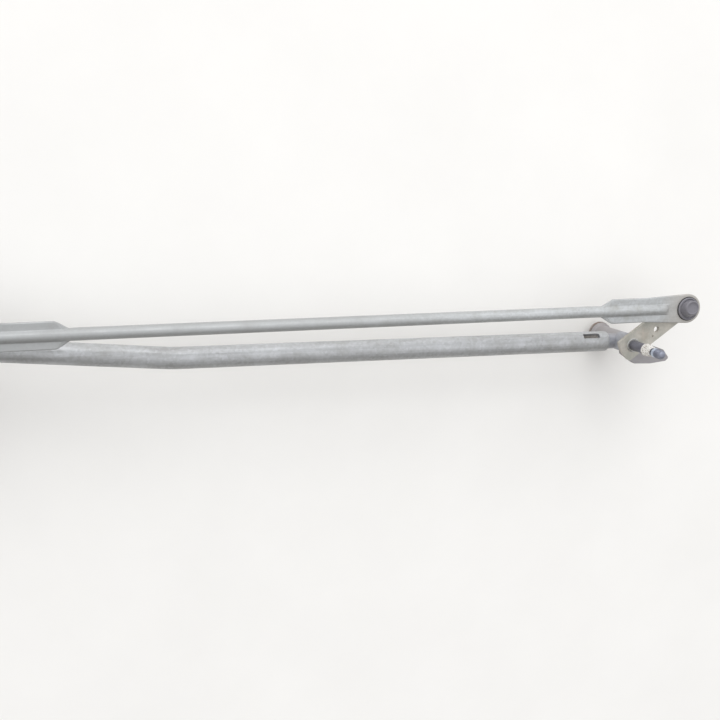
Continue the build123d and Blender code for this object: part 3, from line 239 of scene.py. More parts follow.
@dataclass(frozen=True)
class Finish:
    """A surface finish: its colours, gloss and grain."""

    name: str
    slot: Slot
    grain: Grain
    light: Triple
    dark: Triple
    stain: Triple
    metallic: float = 0.9
    rough: float = 0.45
    rough_spread: float = 0.12
    depth: float = 0.00003
    scale: float = 1.0
    stain_share: float = 0.35
    fades: tuple[Fade, ...] = ()

    def build(self) -> bpy.types.Material:
        """Make the material.

        Returns:
            The material with its nodes.
        """
        pen = Painter(bpy.data.materials.new(self.name))
        height, tone = getattr(self, f"_{self.grain.value}")(pen)
        clouds = pen.noise(pen.place, CLOUD_SCALE * self.scale, 5.0, 0.6)
        color = pen.blend(tone, self.dark, self.light)
        dirt = pen.ramp(clouds, *STAIN_EDGE, 0.0, self.stain_share)
        color = pen.blend(dirt, color, self.stain)
        for fade in self.fades:
            share = pen.ramp(pen.along(fade.axis), fade.start, fade.end, 0.0, fade.share)
            color = pen.blend(share, color, fade.color)
        rough = pen.ramp(clouds, *GLOSS_EDGE, self.rough - self.rough_spread, self.rough + self.rough_spread)
        return pen.close(color, rough, height, self.depth, self.metallic)

    def _rolled(self, pen: Painter) -> tuple[Socket, Socket]:
        """Zinc-coated sheet or tube: drawing lines, small crystals and scratches along it.

        Args:
            pen: Painter of the material.

        Returns:
            The relief and the tone.
        """
        lines = pen.noise(pen.stretched((14.0, 900.0, 900.0)), 1.0, 3.0, 0.6)
        scratches = pen.noise(pen.stretched((40.0, 2200.0, 2200.0), 6.0), 1.0, 2.0, 0.5)
        crystals = pen.ramp(pen.cells(420.0 * self.scale), 0.0, 1.0)
        clouds = pen.noise(pen.stretched((30.0, 90.0, 90.0)), 1.0, 6.0, 0.65)
        tone = pen.sum((lines, 0.35), (crystals, 0.22), (clouds, 0.75))
        height = pen.sum((lines, 0.5), (crystals, 0.25), (pen.ramp(scratches, 0.62, 0.72), -0.6))
        return height, pen.ramp(tone, 0.47, 0.84)

    def _plated(self, pen: Painter) -> tuple[Socket, Socket]:
        """Zinc plate on pressed steel: soft iridescent patches over a fine orange-peel skin.

        Args:
            pen: Painter of the material.

        Returns:
            The relief and the tone.
        """
        peel = pen.noise(pen.place, 1300.0 * self.scale, 2.0, 0.5)
        patches = pen.noise(pen.place, 95.0 * self.scale, 6.0, 0.62)
        scuffs = pen.noise(pen.stretched((1800.0, 90.0, 300.0)), 1.0, 2.0, 0.5)
        tone = pen.sum((peel, 0.15), (patches, 0.8), (scuffs, 0.12))
        height = pen.sum((peel, 0.5), (pen.ramp(scuffs, 0.64, 0.74), -0.5))
        return height, pen.ramp(tone, 0.42, 0.67)

    def _cast(self, pen: Painter) -> tuple[Socket, Socket]:
        """Die-cast skin: fine pits and slow flow marks.

        Args:
            pen: Painter of the material.

        Returns:
            The relief and the tone.
        """
        flow = pen.noise(pen.stretched((60.0, 120.0, 60.0)), 1.0, 5.0, 0.65)
        return pen.layers(pen.noise(pen.place, 1700.0 * self.scale, 3.0, 0.6), flow,
                          tone=(0.3, 0.9), relief=(0.8, 0.6), reach=(0.49, 0.74))

    def _turned(self, pen: Painter) -> tuple[Socket, Socket]:
        """Turned steel: rings round an upright axis, and wear.

        Args:
            pen: Painter of the material.

        Returns:
            The relief and the tone.
        """
        wear = pen.noise(pen.stretched((150.0, 150.0, 60.0)), 1.0, 5.0, 0.6)
        return pen.layers(pen.bands(pen.place, 3000.0 * self.scale, "Z", 1.5), wear,
                          tone=(0.15, 0.85), relief=(0.5, 0.5), reach=(0.35, 0.75))

    def _moulded(self, pen: Painter) -> tuple[Socket, Socket]:
        """Moulded plastic or rubber: a fine even texture, and flow marks.

        Args:
            pen: Painter of the material.

        Returns:
            The relief and the tone.
        """
        flow = pen.noise(pen.place, 70.0 * self.scale, 4.0, 0.6)
        return pen.layers(pen.noise(pen.place, 2400.0 * self.scale, 2.0, 0.5), flow,
                          tone=(0.3, 0.7), relief=(0.7, 0.3), reach=(0.35, 0.75))

    def _speckled(self, pen: Painter) -> tuple[Socket, Socket]:
        """Worn bright steel with dirt left in its grooves: pale with small dark specks.

        Args:
            pen: Painter of the material.

        Returns:
            The relief and the tone.
        """
        specks = pen.ramp(pen.noise(pen.place, 760.0 * self.scale, 2.0, 0.6), 0.38, 0.47)
        return pen.layers(specks, pen.noise(pen.place, 420.0 * self.scale, 4.0, 0.6),
                          tone=(0.85, 0.3), relief=(0.6, 0.4), reach=(0.15, 0.95))

    def _wound(self, pen: Painter) -> tuple[Socket, Socket]:
        """Enamelled wire laid side by side.

        Args:
            pen: Painter of the material.

        Returns:
            The relief and the tone.
        """
        wires = pen.bands(pen.stretched((1.0, 1.0, 1.0), 35.0), 700.0, "DIAGONAL", 2.0)
        return pen.layers(wires, pen.noise(pen.place, 120.0, 4.0, 0.6),
                          tone=(0.6, 0.4), relief=(1.0, 0.0), reach=(0.2, 0.8))

    def _stacked(self, pen: Painter) -> tuple[Socket, Socket]:
        """Edges of thin sheets stacked along X.

        Args:
            pen: Painter of the material.

        Returns:
            The relief and the tone.
        """
        sheets = pen.bands(pen.place, 1000.0, "X", 0.4)
        return pen.layers(sheets, pen.noise(pen.place, 160.0, 4.0, 0.6),
                          tone=(0.5, 0.5), relief=(1.0, 0.0), reach=(0.2, 0.8))


TUBE_FINISH = Finish(
    "galvanised_tube", Slot.GALVANISED, Grain.ROLLED, (0.505, 0.515, 0.525), (0.352, 0.352, 0.35),
    (0.33, 0.32, 0.29), metallic=0.4, rough=0.46, depth=0.00004)
LINK_FINISH = Finish(
    "galvanised_sheet", Slot.GALVANISED, Grain.ROLLED, (0.485, 0.50, 0.505), (0.35, 0.355, 0.35),
    (0.31, 0.30, 0.27), metallic=0.3, rough=0.5, depth=0.00003, scale=1.3)
HEAD_TINT = Fade("X", 0.696, 0.722, (0.44, 0.41, 0.37), 0.7)
# Painted shade: the long link darkens towards lower X, from 0.53 m to 0.37 m, where the lamps light it less.
ROD_SHADE = Fade("X", 0.53, 0.37, (0.345, 0.35, 0.347), 0.7)
LONG_LINK_FINISH = replace(
    LINK_FINISH, name="galvanised_long_link", stain_share=0.5, fades=(HEAD_TINT, ROD_SHADE))
LEVER_FINISH = Finish(
    "zinc_plated_lever", Slot.ZINC, Grain.PLATED, (0.54, 0.507, 0.452), (0.375, 0.372, 0.328),
    (0.36, 0.275, 0.20), metallic=0.35, rough=0.5, stain_share=0.5)
LOWER_WASHER_FINISH = Finish(
    "rust_tinged_washer", Slot.ZINC, Grain.PLATED, (0.42, 0.38, 0.35), (0.28, 0.23, 0.20),
    (0.24, 0.13, 0.07), metallic=0.4, rough=0.6, stain_share=0.8, scale=2.0)
WASHER_FINISH = Finish(
    "zinc_plated_washer", Slot.ZINC, Grain.PLATED, (0.66, 0.67, 0.66), (0.46, 0.46, 0.45),
    (0.35, 0.34, 0.30), rough=0.35)
CAST_FINISH = Finish(
    "die_cast_aluminium", Slot.CAST, Grain.CAST, (0.42, 0.42, 0.455), (0.29, 0.285, 0.305),
    (0.30, 0.27, 0.235), metallic=0.3, rough=0.55, depth=0.00008, stain_share=0.55)
# Painted shade: the right housing darkens below 7 mm height, most on its ear, for the lever's shadow over it.
EAR_SHADE = Fade("Z", 0.007, -0.001, (0.31, 0.288, 0.285), 0.85)
RIGHT_CAST_FINISH = replace(
    CAST_FINISH, name="right_die_casting_painted_shade", light=(0.45, 0.465, 0.50), dark=(0.34, 0.345, 0.375),
    fades=(EAR_SHADE,))
SPINDLE_FINISH = Finish(
    "dark_spindle_steel", Slot.DARK_STEEL, Grain.TURNED, (0.20, 0.202, 0.24), (0.12, 0.12, 0.143),
    (0.13, 0.11, 0.10), metallic=0.5, rough=0.4)
# Painted shade: the relief groove of the thread core, below 64 mm, is coloured nearly black.
GROOVE_SHADE = Fade("Z", 0.0642, 0.0640, (0.07, 0.075, 0.095), 0.9)
THREAD_FINISH = Finish(
    "blue_grey_thread_steel", Slot.DARK_STEEL, Grain.TURNED, (0.35, 0.37, 0.435), (0.21, 0.22, 0.27),
    (0.12, 0.12, 0.13), metallic=0.7, rough=0.42, fades=(GROOVE_SHADE,))
RIDGE_FINISH = Finish(
    "dark_pressed_pocket", Slot.CAST, Grain.CAST, (0.37, 0.345, 0.32), (0.19, 0.172, 0.155),
    (0.08, 0.06, 0.05), metallic=0.2, rough=0.6)
KNURL_FINISH = Finish(
    "pale_knurled_steel", Slot.DARK_STEEL, Grain.SPECKLED, (0.80, 0.785, 0.75), (0.24, 0.19, 0.14),
    (0.30, 0.25, 0.20), rough=0.5, metallic=0.2, stain_share=0.2)
# Partly painted highlight: the lead ring is plain turned steel, coloured pale blue for the sky's glint on it.
LEAD_HIGHLIGHT_FINISH = Finish(
    "lead_ring_painted_highlight", Slot.DARK_STEEL, Grain.TURNED, (0.68, 0.75, 0.86), (0.44, 0.49, 0.58),
    (0.16, 0.17, 0.20), metallic=0.5, rough=0.34)
BRIGHT_FINISH = Finish(
    "bright_zinc_steel", Slot.BRIGHT_STEEL, Grain.PLATED, (0.66, 0.67, 0.69), (0.45, 0.46, 0.48),
    (0.32, 0.31, 0.29), rough=0.30)
SOCKET_FINISH = Finish(
    "dark_grey_socket_plastic", Slot.GREY_PLASTIC, Grain.MOULDED, (0.23, 0.222, 0.245),
    (0.155, 0.15, 0.168), (0.27, 0.25, 0.23), metallic=0.0, rough=0.48)
RUBBER_FINISH = Finish(
    "black_rubber", Slot.RUBBER, Grain.MOULDED, (0.035, 0.035, 0.036), (0.018, 0.018, 0.018),
    (0.09, 0.085, 0.08), metallic=0.0, rough=0.72, depth=0.00005)
COVER_FINISH = Finish(
    "black_glass_filled_plastic", Slot.BLACK_PLASTIC, Grain.MOULDED, (0.045, 0.045, 0.048),
    (0.022, 0.022, 0.024), (0.10, 0.10, 0.10), metallic=0.0, rough=0.5)
ACETAL_FINISH = Finish(
    "natural_acetal", Slot.NATURAL_PLASTIC, Grain.MOULDED, (0.78, 0.75, 0.66), (0.66, 0.62, 0.52),
    (0.50, 0.44, 0.30), metallic=0.0, rough=0.4)
BRONZE_FINISH = Finish(
    "sintered_bronze", Slot.BRONZE, Grain.CAST, (0.52, 0.38, 0.20), (0.34, 0.24, 0.12),
    (0.20, 0.15, 0.09), metallic=0.85, rough=0.5, scale=1.6)
COPPER_FINISH = Finish(
    "sheet_copper", Slot.COPPER, Grain.PLATED, (0.72, 0.40, 0.24), (0.50, 0.26, 0.15), (0.26, 0.16, 0.11),
    rough=0.34)
WIRE_FINISH = Finish(
    "enamelled_wire", Slot.COPPER, Grain.WOUND, (0.62, 0.28, 0.13), (0.28, 0.11, 0.05),
    (0.20, 0.08, 0.04), rough=0.3, depth=0.00015)
CORE_FINISH = Finish(
    "stacked_laminations", Slot.LAMINATIONS, Grain.STACKED, (0.34, 0.34, 0.35), (0.16, 0.16, 0.17),
    (0.20, 0.14, 0.10), rough=0.5, depth=0.0001)
CAN_FINISH = Finish(
    "satin_black_can", Slot.CAN, Grain.PLATED, (0.075, 0.077, 0.082), (0.045, 0.046, 0.05),
    (0.13, 0.125, 0.12), metallic=0.35, rough=0.4, depth=0.00004)
FERRITE_FINISH = Finish(
    "dull_ferrite", Slot.FERRITE, Grain.CAST, (0.12, 0.12, 0.125), (0.07, 0.07, 0.075),
    (0.16, 0.13, 0.11), metallic=0.1, rough=0.7)


@dataclass
class Wardrobe:
    """Keeps one material of each finish, and puts them on nodes and pieces."""

    made: dict[str, bpy.types.Material] = field(default_factory=dict)

    def dress(self, obj: Piece, finish: Finish) -> None:
        """Give an object a finish all over.

        Args:
            obj: A CAD node or a new piece.
            finish: What it gets.
        """
        if finish.name not in self.made:
            self.made[finish.name] = finish.build()
        obj.data.materials.clear()
        obj.data.materials.append(self.made[finish.name])

    def dress_nodes(self, finish: Finish, *names: str) -> None:
        """Give several CAD nodes a finish.

        Args:
            finish: What they get.
            *names: Names of the nodes.
        """
        for name in names:
            self.dress(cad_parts[name], finish)
            LOG.info("node %s wears %s", name, finish.name)

    def send_out(self, piece: Piece, finish: Finish, body: str) -> None:
        """Dress a new piece that lies in its place, and let it ride.

        Args:
            piece: The piece.
            finish: What it gets.
            body: Body that carries it.
        """
        self.dress(piece, finish)
        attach(piece, body)
        LOG.info("piece %s", piece.name)


class Bench:
    """Modelling steps that the pieces share. All sizes are in millimetres about the world's axis."""

    @staticmethod
    def clear() -> None:
        """Leave edit mode and deselect everything."""
        if bpy.context.object and bpy.context.object.mode == "EDIT":
            bpy.ops.object.mode_set(mode="OBJECT")
        bpy.ops.object.select_all(action="DESELECT")

    @staticmethod
    def hold(piece: Piece) -> None:
        """Select one piece alone, in object mode, and make it the active one.

        Args:
            piece: The object.
        """
        Bench.clear()
        piece.select_set(True)
        bpy.context.view_layer.objects.active = piece

    @staticmethod
    def open() -> None:
        """Open the active piece for editing, with all of it selected."""
        bpy.ops.object.mode_set(mode="EDIT")
        bpy.ops.mesh.select_all(action="SELECT")

    @staticmethod
    def begin(name: str) -> Piece:
        """Name the primitive that was just added, put its place in its mesh, and open it.

        Args:
            name: Name of the piece.

        Returns:
            The new object, in edit mode with all of it selected.
        """
        piece = bpy.context.object
        piece.name = piece.data.name = name
        bpy.ops.object.transform_apply(location=True, rotation=True, scale=True)
        Bench.open()
        return piece

    @staticmethod
    def turn(name: str, profile: Sequence[Pair], sides: int = 48) -> Piece:
        """Turn a closed piece from (radius, height) steps, by extruding and scaling a disc.

        Args:
            name: Name of the piece.
            profile: Steps from the bottom to the top.
            sides: Corners of each ring.

        Returns:
            The new object, still in edit mode.
        """
        radius, height = profile[0]
        Bench.clear()
        bpy.ops.mesh.primitive_circle_add(vertices=sides, radius=radius * MM, fill_type="NGON",
                                          location=(0.0, 0.0, height * MM))
        piece = Bench.begin(name)
        for next_radius, next_height in profile[1:]:
            bpy.ops.mesh.extrude_region_move(
                TRANSFORM_OT_translate={"value": (0.0, 0.0, (next_height - height) * MM)})
            grow = next_radius / radius
            bpy.ops.transform.resize(value=(grow, grow, 1.0), center_override=(0.0, 0.0, next_height * MM))
            radius, height = next_radius, next_height
        Bench.face_outwards()
        return piece

    @staticmethod
    def face_outwards() -> None:
        """Point every face of the mesh in edit mode outwards."""
        bpy.ops.mesh.select_all(action="SELECT")
        bpy.ops.mesh.normals_make_consistent(inside=False)

    @staticmethod
    def pick(piece: Piece, test: Callable[[Vector], bool]) -> None:
        """Select the corners of the mesh in edit mode that pass a test of their place.

        Args:
            piece: The object in edit mode.
            test: Says of a place, in millimetres, whether it is picked.
        """
        bpy.ops.mesh.select_mode(type="VERT")
        bpy.ops.mesh.select_all(action="DESELECT")
        mesh = bmesh.from_edit_mesh(piece.data)
        for vertex in mesh.verts:
            if test(vertex.co / MM):
                vertex.select = True
        mesh.select_flush(True)
        bmesh.update_edit_mesh(piece.data)

    @staticmethod
    def pick_top(piece: Piece, least: float) -> None:
        """Select the faces of the mesh in edit mode that look upwards.

        Args:
            piece: The object in edit mode.
            least: Least upward part of a picked face's normal.
        """
        bpy.ops.mesh.select_mode(type="FACE")
        bpy.ops.mesh.select_all(action="DESELECT")
        mesh = bmesh.from_edit_mesh(piece.data)
        for face in mesh.faces:
            if face.normal.z > least:
                face.select = True
        bmesh.update_edit_mesh(piece.data)

    @staticmethod
    def modify(piece: Piece, kind: str, **settings: object) -> None:
        """Add a modifier and apply it at once.

        Args:
            piece: The object.
            kind: Type of the modifier.
            **settings: Its settings.
        """
        Bench.hold(piece)
        modifier = piece.modifiers.new(kind.lower(), kind)
        for key, value in settings.items():
            setattr(modifier, key, value)
        bpy.ops.object.modifier_apply(modifier=modifier.name)

    @staticmethod
    def helix(name: str, root: float, tip: float, pitch: float, low: float, turns: float) -> Piece:
        """Screw a closed ridge round the world's axis.

        Args:
            name: Name of the piece.
            root: Radius where the ridge is buried.
            tip: Radius of its crest.
            pitch: Rise of each turn.
            low: Height of its start.
            turns: Number of turns.

        Returns:
            The ridge, still in edit mode.
        """
        foot_half = 0.46 * pitch
        steps = int(28 * turns)
        start = (root * MM, 0.0, low * MM)
        Bench.clear()
        bpy.ops.mesh.primitive_circle_add(vertices=4, radius=foot_half * MM, fill_type="NOTHING",
                                          location=start, rotation=(math.pi / 2, 0.0, 0.0))
        ridge = Bench.begin(name)
        bpy.ops.transform.resize(value=((tip - root) / foot_half, 1.0, 1.0), center_override=start)
        Bench.modify(ridge, "SCREW", axis="Z", angle=2 * math.pi * turns, screw_offset=pitch * turns * MM,
                     steps=steps, render_steps=steps, use_merge_vertices=False)
        Bench.open()
        bpy.ops.mesh.fill_holes(sides=6)
        Bench.face_outwards()
        return ridge

    @staticmethod
    def join(first: Piece, second: Piece) -> Piece:
        """Join a second mesh into the first.

        Args:
            first: The object that stays.
            second: The object that goes into it.

        Returns:
            The joined object.
        """
        Bench.hold(first)
        second.select_set(True)
        bpy.ops.object.join()
        return first

    @staticmethod
    def block(name: str, centre: Triple, size: Triple) -> Piece:
        """Rectangular block to start a piece from.

        Args:
            name: Name of the piece.
            centre: Its middle.
            size: Its size along X, Y and Z.

        Returns:
            The block, in edit mode.
        """
        Bench.clear()
        bpy.ops.mesh.primitive_cube_add(size=1.0, location=tuple(value * MM for value in centre),
                                        scale=tuple(value * MM for value in size))
        return Bench.begin(name)

    @staticmethod
    def torus(name: str, radius: float, thick: float, height: float, flatten: float = 0.9) -> Piece:
        """Round lip or bead about the world's axis.

        Args:
            name: Name of the piece.
            radius: Radius of its centre line.
            thick: Radius of its section.
            height: Height of its middle.
            flatten: Factor on the section's height.

        Returns:
            The lip, shaded smooth.
        """
        Bench.clear()
        bpy.ops.mesh.primitive_torus_add(major_segments=72, minor_segments=12, major_radius=radius * MM,
                                         minor_radius=thick * MM, location=(0.0, 0.0, height * MM))
        piece = Bench.begin(name)
        bpy.ops.transform.resize(value=(1.0, 1.0, flatten), center_override=(0.0, 0.0, height * MM))
        Bench.smooth(piece, 60.0)
        return piece

    @staticmethod
    def tip(piece: Piece, axis: str, angle: float) -> None:
        """Turn a piece's mesh about one of the world's axes, and leave it in edit mode.

        Args:
            piece: The object.
            axis: X, Y or Z.
            angle: Angle in degrees, by the right-hand rule.
        """
        Bench.hold(piece)
        Bench.open()
        bpy.ops.transform.rotate(value=math.radians(-angle), orient_axis=axis,
                                 center_override=(0.0, 0.0, 0.0))

    @staticmethod
    def move(piece: Piece, place: Vector, turn: float = 0.0) -> None:
        """Carry a piece's mesh from the world's axis to its place.

        Args:
            piece: The object.
            place: Where its axis goes, in metres.
            turn: Angle in degrees about that axis first.
        """
        Bench.tip(piece, "Z", turn)
        bpy.ops.transform.translate(value=tuple(place))
        bpy.ops.object.mode_set(mode="OBJECT")

    @staticmethod
    def smooth(piece: Piece, angle: float = 32.0) -> None:
        """Shade a piece smooth, with edges sharper than an angle in degrees kept."""
        Bench.hold(piece)
        bpy.ops.object.shade_smooth_by_angle(angle=math.radians(angle))


def middle(node: str) -> Vector:
    """Middle of a CAD node's box, in metres."""
    low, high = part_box(node)
    return (low + high) / 2


def foot(node: str) -> Vector:
    """Place at height zero on the upright line through a CAD node's middle, in metres."""
    return Vector((*middle(node).xy, 0.0))


def polar(radius: float, angle: float) -> Vector:
    """Level step in metres, of a radius in millimetres at an angle in degrees from +X."""
    return Vector((math.cos(math.radians(angle)), math.sin(math.radians(angle)), 0.0)) * radius * MM


@dataclass
class WiperSpindle:
    """One wiper spindle: dark shaft, pale knurled cone, lead ring, threaded tip, and the staked collar."""

    side: str
    wardrobe: Wardrobe
    shaft_r: float = 5.0
    shaft_chamfer: float = 0.8
    neck_low: float = 0.6
    neck_in: float = 0.35
    neck_gap: float = 0.02
    clip_groove_r: float = 4.1
    low: float = -45.5
    groove_low: float = -42.6
    groove_high: float = -41.4
    cone_low: float = 49.2
    cone_high: float = 60.6
    cone_big_r: float = 6.1
    cone_small_r: float = 4.8
    cone_foot: Pair = (0.45, 0.35)
    cone_brow: Pair = (0.4, 0.3)
    relief_r: float = 3.5
    relief_sunk: float = 0.1
    relief_end: float = 0.3
    thread_low: float = 64.2
    lead_high: float = 67.6
    lead_edge: float = 0.25
    collar_r: float = 6.25
    collar_thick: float = 0.6
    collar_high: float = 26.55
    thread_root_r: float = 3.8
    thread_tip_r: float = 4.4
    thread_pitch: float = 1.25
    tip: float = 78.0
    dome_steps: Steps = ((0.0, 2.2), (0.25, 1.3), (0.8, 0.6), (1.6, 0.15), (2.6, 0.0))
    ridge_sunk: float = 0.02
    run_in: float = 0.4
    run_out: float = 2.3
    knurl_teeth: int = 40
    knurl_depth: float = 0.32

    def build(self) -> None:
        """Build the pieces and put them in the CAD spindle's place."""
        axis = foot(f"{self.side}_spindle")
        shaft, cone, lead, thread = self.shaft(), self.cone(), self.lead(), self.thread()
        collar = Bench.torus(f"{self.side}_staked_collar", self.collar_r, self.collar_thick, self.collar_high)
        for piece, finish in ((shaft, SPINDLE_FINISH), (cone, KNURL_FINISH), (lead, LEAD_HIGHLIGHT_FINISH),
                              (thread, THREAD_FINISH), (collar, WASHER_FINISH)):
            Bench.move(piece, axis)
            self.wardrobe.send_out(piece, finish, f"{self.side}_rocker")
        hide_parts(f"{self.side}_spindle")

    def shaft(self) -> Piece:
        """Turn the shaft with its clip groove.

        Returns:
            The shaft.
        """
        edge = self.shaft_chamfer
        profile = [(self.shaft_r - edge, self.low), (self.shaft_r, self.low + edge),
                   (self.shaft_r, self.groove_low), (self.clip_groove_r, self.groove_low),
                   (self.clip_groove_r, self.groove_high), (self.shaft_r, self.groove_high),
                   (self.shaft_r, self.cone_low - self.neck_low),
                   (self.cone_big_r - self.neck_in, self.cone_low - self.neck_gap)]
        piece = Bench.turn(f"{self.side}_spindle_shaft", profile)
        Bench.smooth(piece)
        return piece

    def cone(self) -> Piece:
        """Turn the cone and press straight knurls into it.

        Returns:
            The cone, in edit mode.
        """
        sides = 2 * self.knurl_teeth
        profile = [(self.cone_big_r - self.cone_foot[0], self.cone_low),
                   (self.cone_big_r, self.cone_low + self.cone_foot[1]), (self.cone_small_r, self.cone_high),
                   (self.cone_small_r - self.cone_brow[0], self.cone_high + self.cone_brow[1])]
        piece = Bench.turn(f"{self.side}_spindle_cone", profile, sides)
        step = 2 * math.pi / sides
        valley = (self.cone_big_r - self.knurl_depth) / self.cone_big_r

        def in_valley(place: Vector) -> bool:
            """Every second line of corners is a valley between two knurls."""
            rank = round(math.atan2(place.y, place.x) / step)
            return rank % 2 == 0 and math.hypot(place.x, place.y) > self.cone_small_r - 0.1

        Bench.pick(piece, in_valley)
        bpy.ops.transform.resize(value=(valley, valley, 1.0), center_override=(0.0, 0.0, 0.0))
        return piece

    def lead(self) -> Piece:
        """Turn the smooth ring at which the thread starts.

        Returns:
            The ring.
        """
        edge = self.lead_edge
        profile = [(self.relief_r, self.thread_low - edge), (self.thread_tip_r, self.thread_low + edge),
                   (self.thread_tip_r, self.lead_high - edge), (self.thread_root_r, self.lead_high)]
        piece = Bench.turn(f"{self.side}_spindle_lead", profile)
        Bench.smooth(piece)
        return piece

    def thread(self) -> Piece:
        """Turn the relief and the domed core of the thread, and wind the ridge on it.

        Returns:
            The threaded tip.
        """
        profile = [(self.relief_r, self.cone_high + self.relief_sunk),
                   (self.relief_r, self.thread_low - self.relief_end), (self.thread_root_r, self.thread_low)]
        profile += [(self.thread_root_r - inwards, self.tip - down) for inwards, down in self.dome_steps]
        core = Bench.turn(f"{self.side}_spindle_thread", profile)
        Bench.smooth(core)
        start = self.lead_high + self.run_in
        turns = (self.tip - self.run_out - start) / self.thread_pitch
        ridge = Bench.helix(f"{self.side}_spindle_ridge", self.thread_root_r - self.ridge_sunk,
                            self.thread_tip_r, self.thread_pitch, start, turns)
        return Bench.join(core, ridge)


@dataclass
class HexScrews:
    """A set of flanged hexagon screws or nuts that stand for one CAD node."""

    node: str
    body: str
    wardrobe: Wardrobe
    flats: float
    head_low: float
    head_high: float
    flange_r: float
    flange_thick: float
    shank_r: float
    shank_low: float
    tip_axis: str = "X"
    tip_angle: float = 0.0
    turn_each: float = 17.0
    shank_edge: Pair = (0.4, 0.5)
    head_sunk: float = 0.2
    # The next are shares: one of the flange's thickness, the others of the width across flats.
    flange_edge: float = 0.4
    chamfer_wide: float = 0.06
    chamfer_deep: float = 0.05
    dish_rim: float = 0.12
    dish_wall: float = 0.03
    dish_deep: float = 0.04
    rounding: float = 0.02

    def build(self, places: Sequence[Vector]) -> None:
        """Model one screw, head upwards, and set a copy at each place, tipped to its direction.

        Args:
            places: Axes of the screws, in metres.
        """
        first = self.model()
        copies = [first]
        for _ in places[1:]:
            twin = first.copy()
            twin.data = first.data.copy()
            bpy.context.scene.collection.objects.link(twin)
            copies.append(twin)
        for number, (piece, place) in enumerate(zip(copies, places), start=1):
            piece.name = piece.data.name = f"{self.node}_{number}"
            Bench.tip(piece, "Z", self.turn_each * number)
            Bench.tip(piece, self.tip_axis, self.tip_angle)
            Bench.move(piece, place)
            self.wardrobe.send_out(piece, BRIGHT_FINISH, self.body)
        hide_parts(self.node)

    def model(self) -> Piece:
        """Turn the flange and shank, and bevel a hexagon for the head by shares of its width.

        Returns:
            One screw on the world's axis.
        """
        unit = self.flats * MM
        corner = self.flats / math.sqrt(3)
        profile = [(self.shank_r - self.shank_edge[0], self.shank_low),
                   (self.shank_r, self.shank_low + self.shank_edge[1]),
                   (self.shank_r, self.head_low), (self.flange_r, self.head_low),
                   (self.flange_r, self.head_low + self.flange_edge * self.flange_thick),
                   (self.flats / 2, self.head_low + self.flange_thick)]
        flange = Bench.turn(f"{self.node}_flange", profile, sides=36)
        Bench.smooth(flange)
        profile = [(corner, self.head_low + self.head_sunk), (corner, self.head_high)]
        head = Bench.turn(f"{self.node}_head", profile, sides=6)
        Bench.pick_top(head, 0.9)
        bpy.ops.mesh.inset(thickness=self.chamfer_wide * unit)
        Bench.pick(head, lambda place: place.z > self.head_high - NEAR and place.xy.length > corner - 0.2)
        bpy.ops.transform.translate(value=(0.0, 0.0, -self.chamfer_deep * unit))
        Bench.pick_top(head, 0.98)
        bpy.ops.mesh.inset(thickness=self.dish_rim * unit)
        bpy.ops.mesh.inset(thickness=self.dish_wall * unit, depth=-self.dish_deep * unit)
        Bench.face_outwards()
        Bench.modify(head, "BEVEL", width=self.rounding * unit, segments=2, limit_method="ANGLE")
        return Bench.join(flange, head)


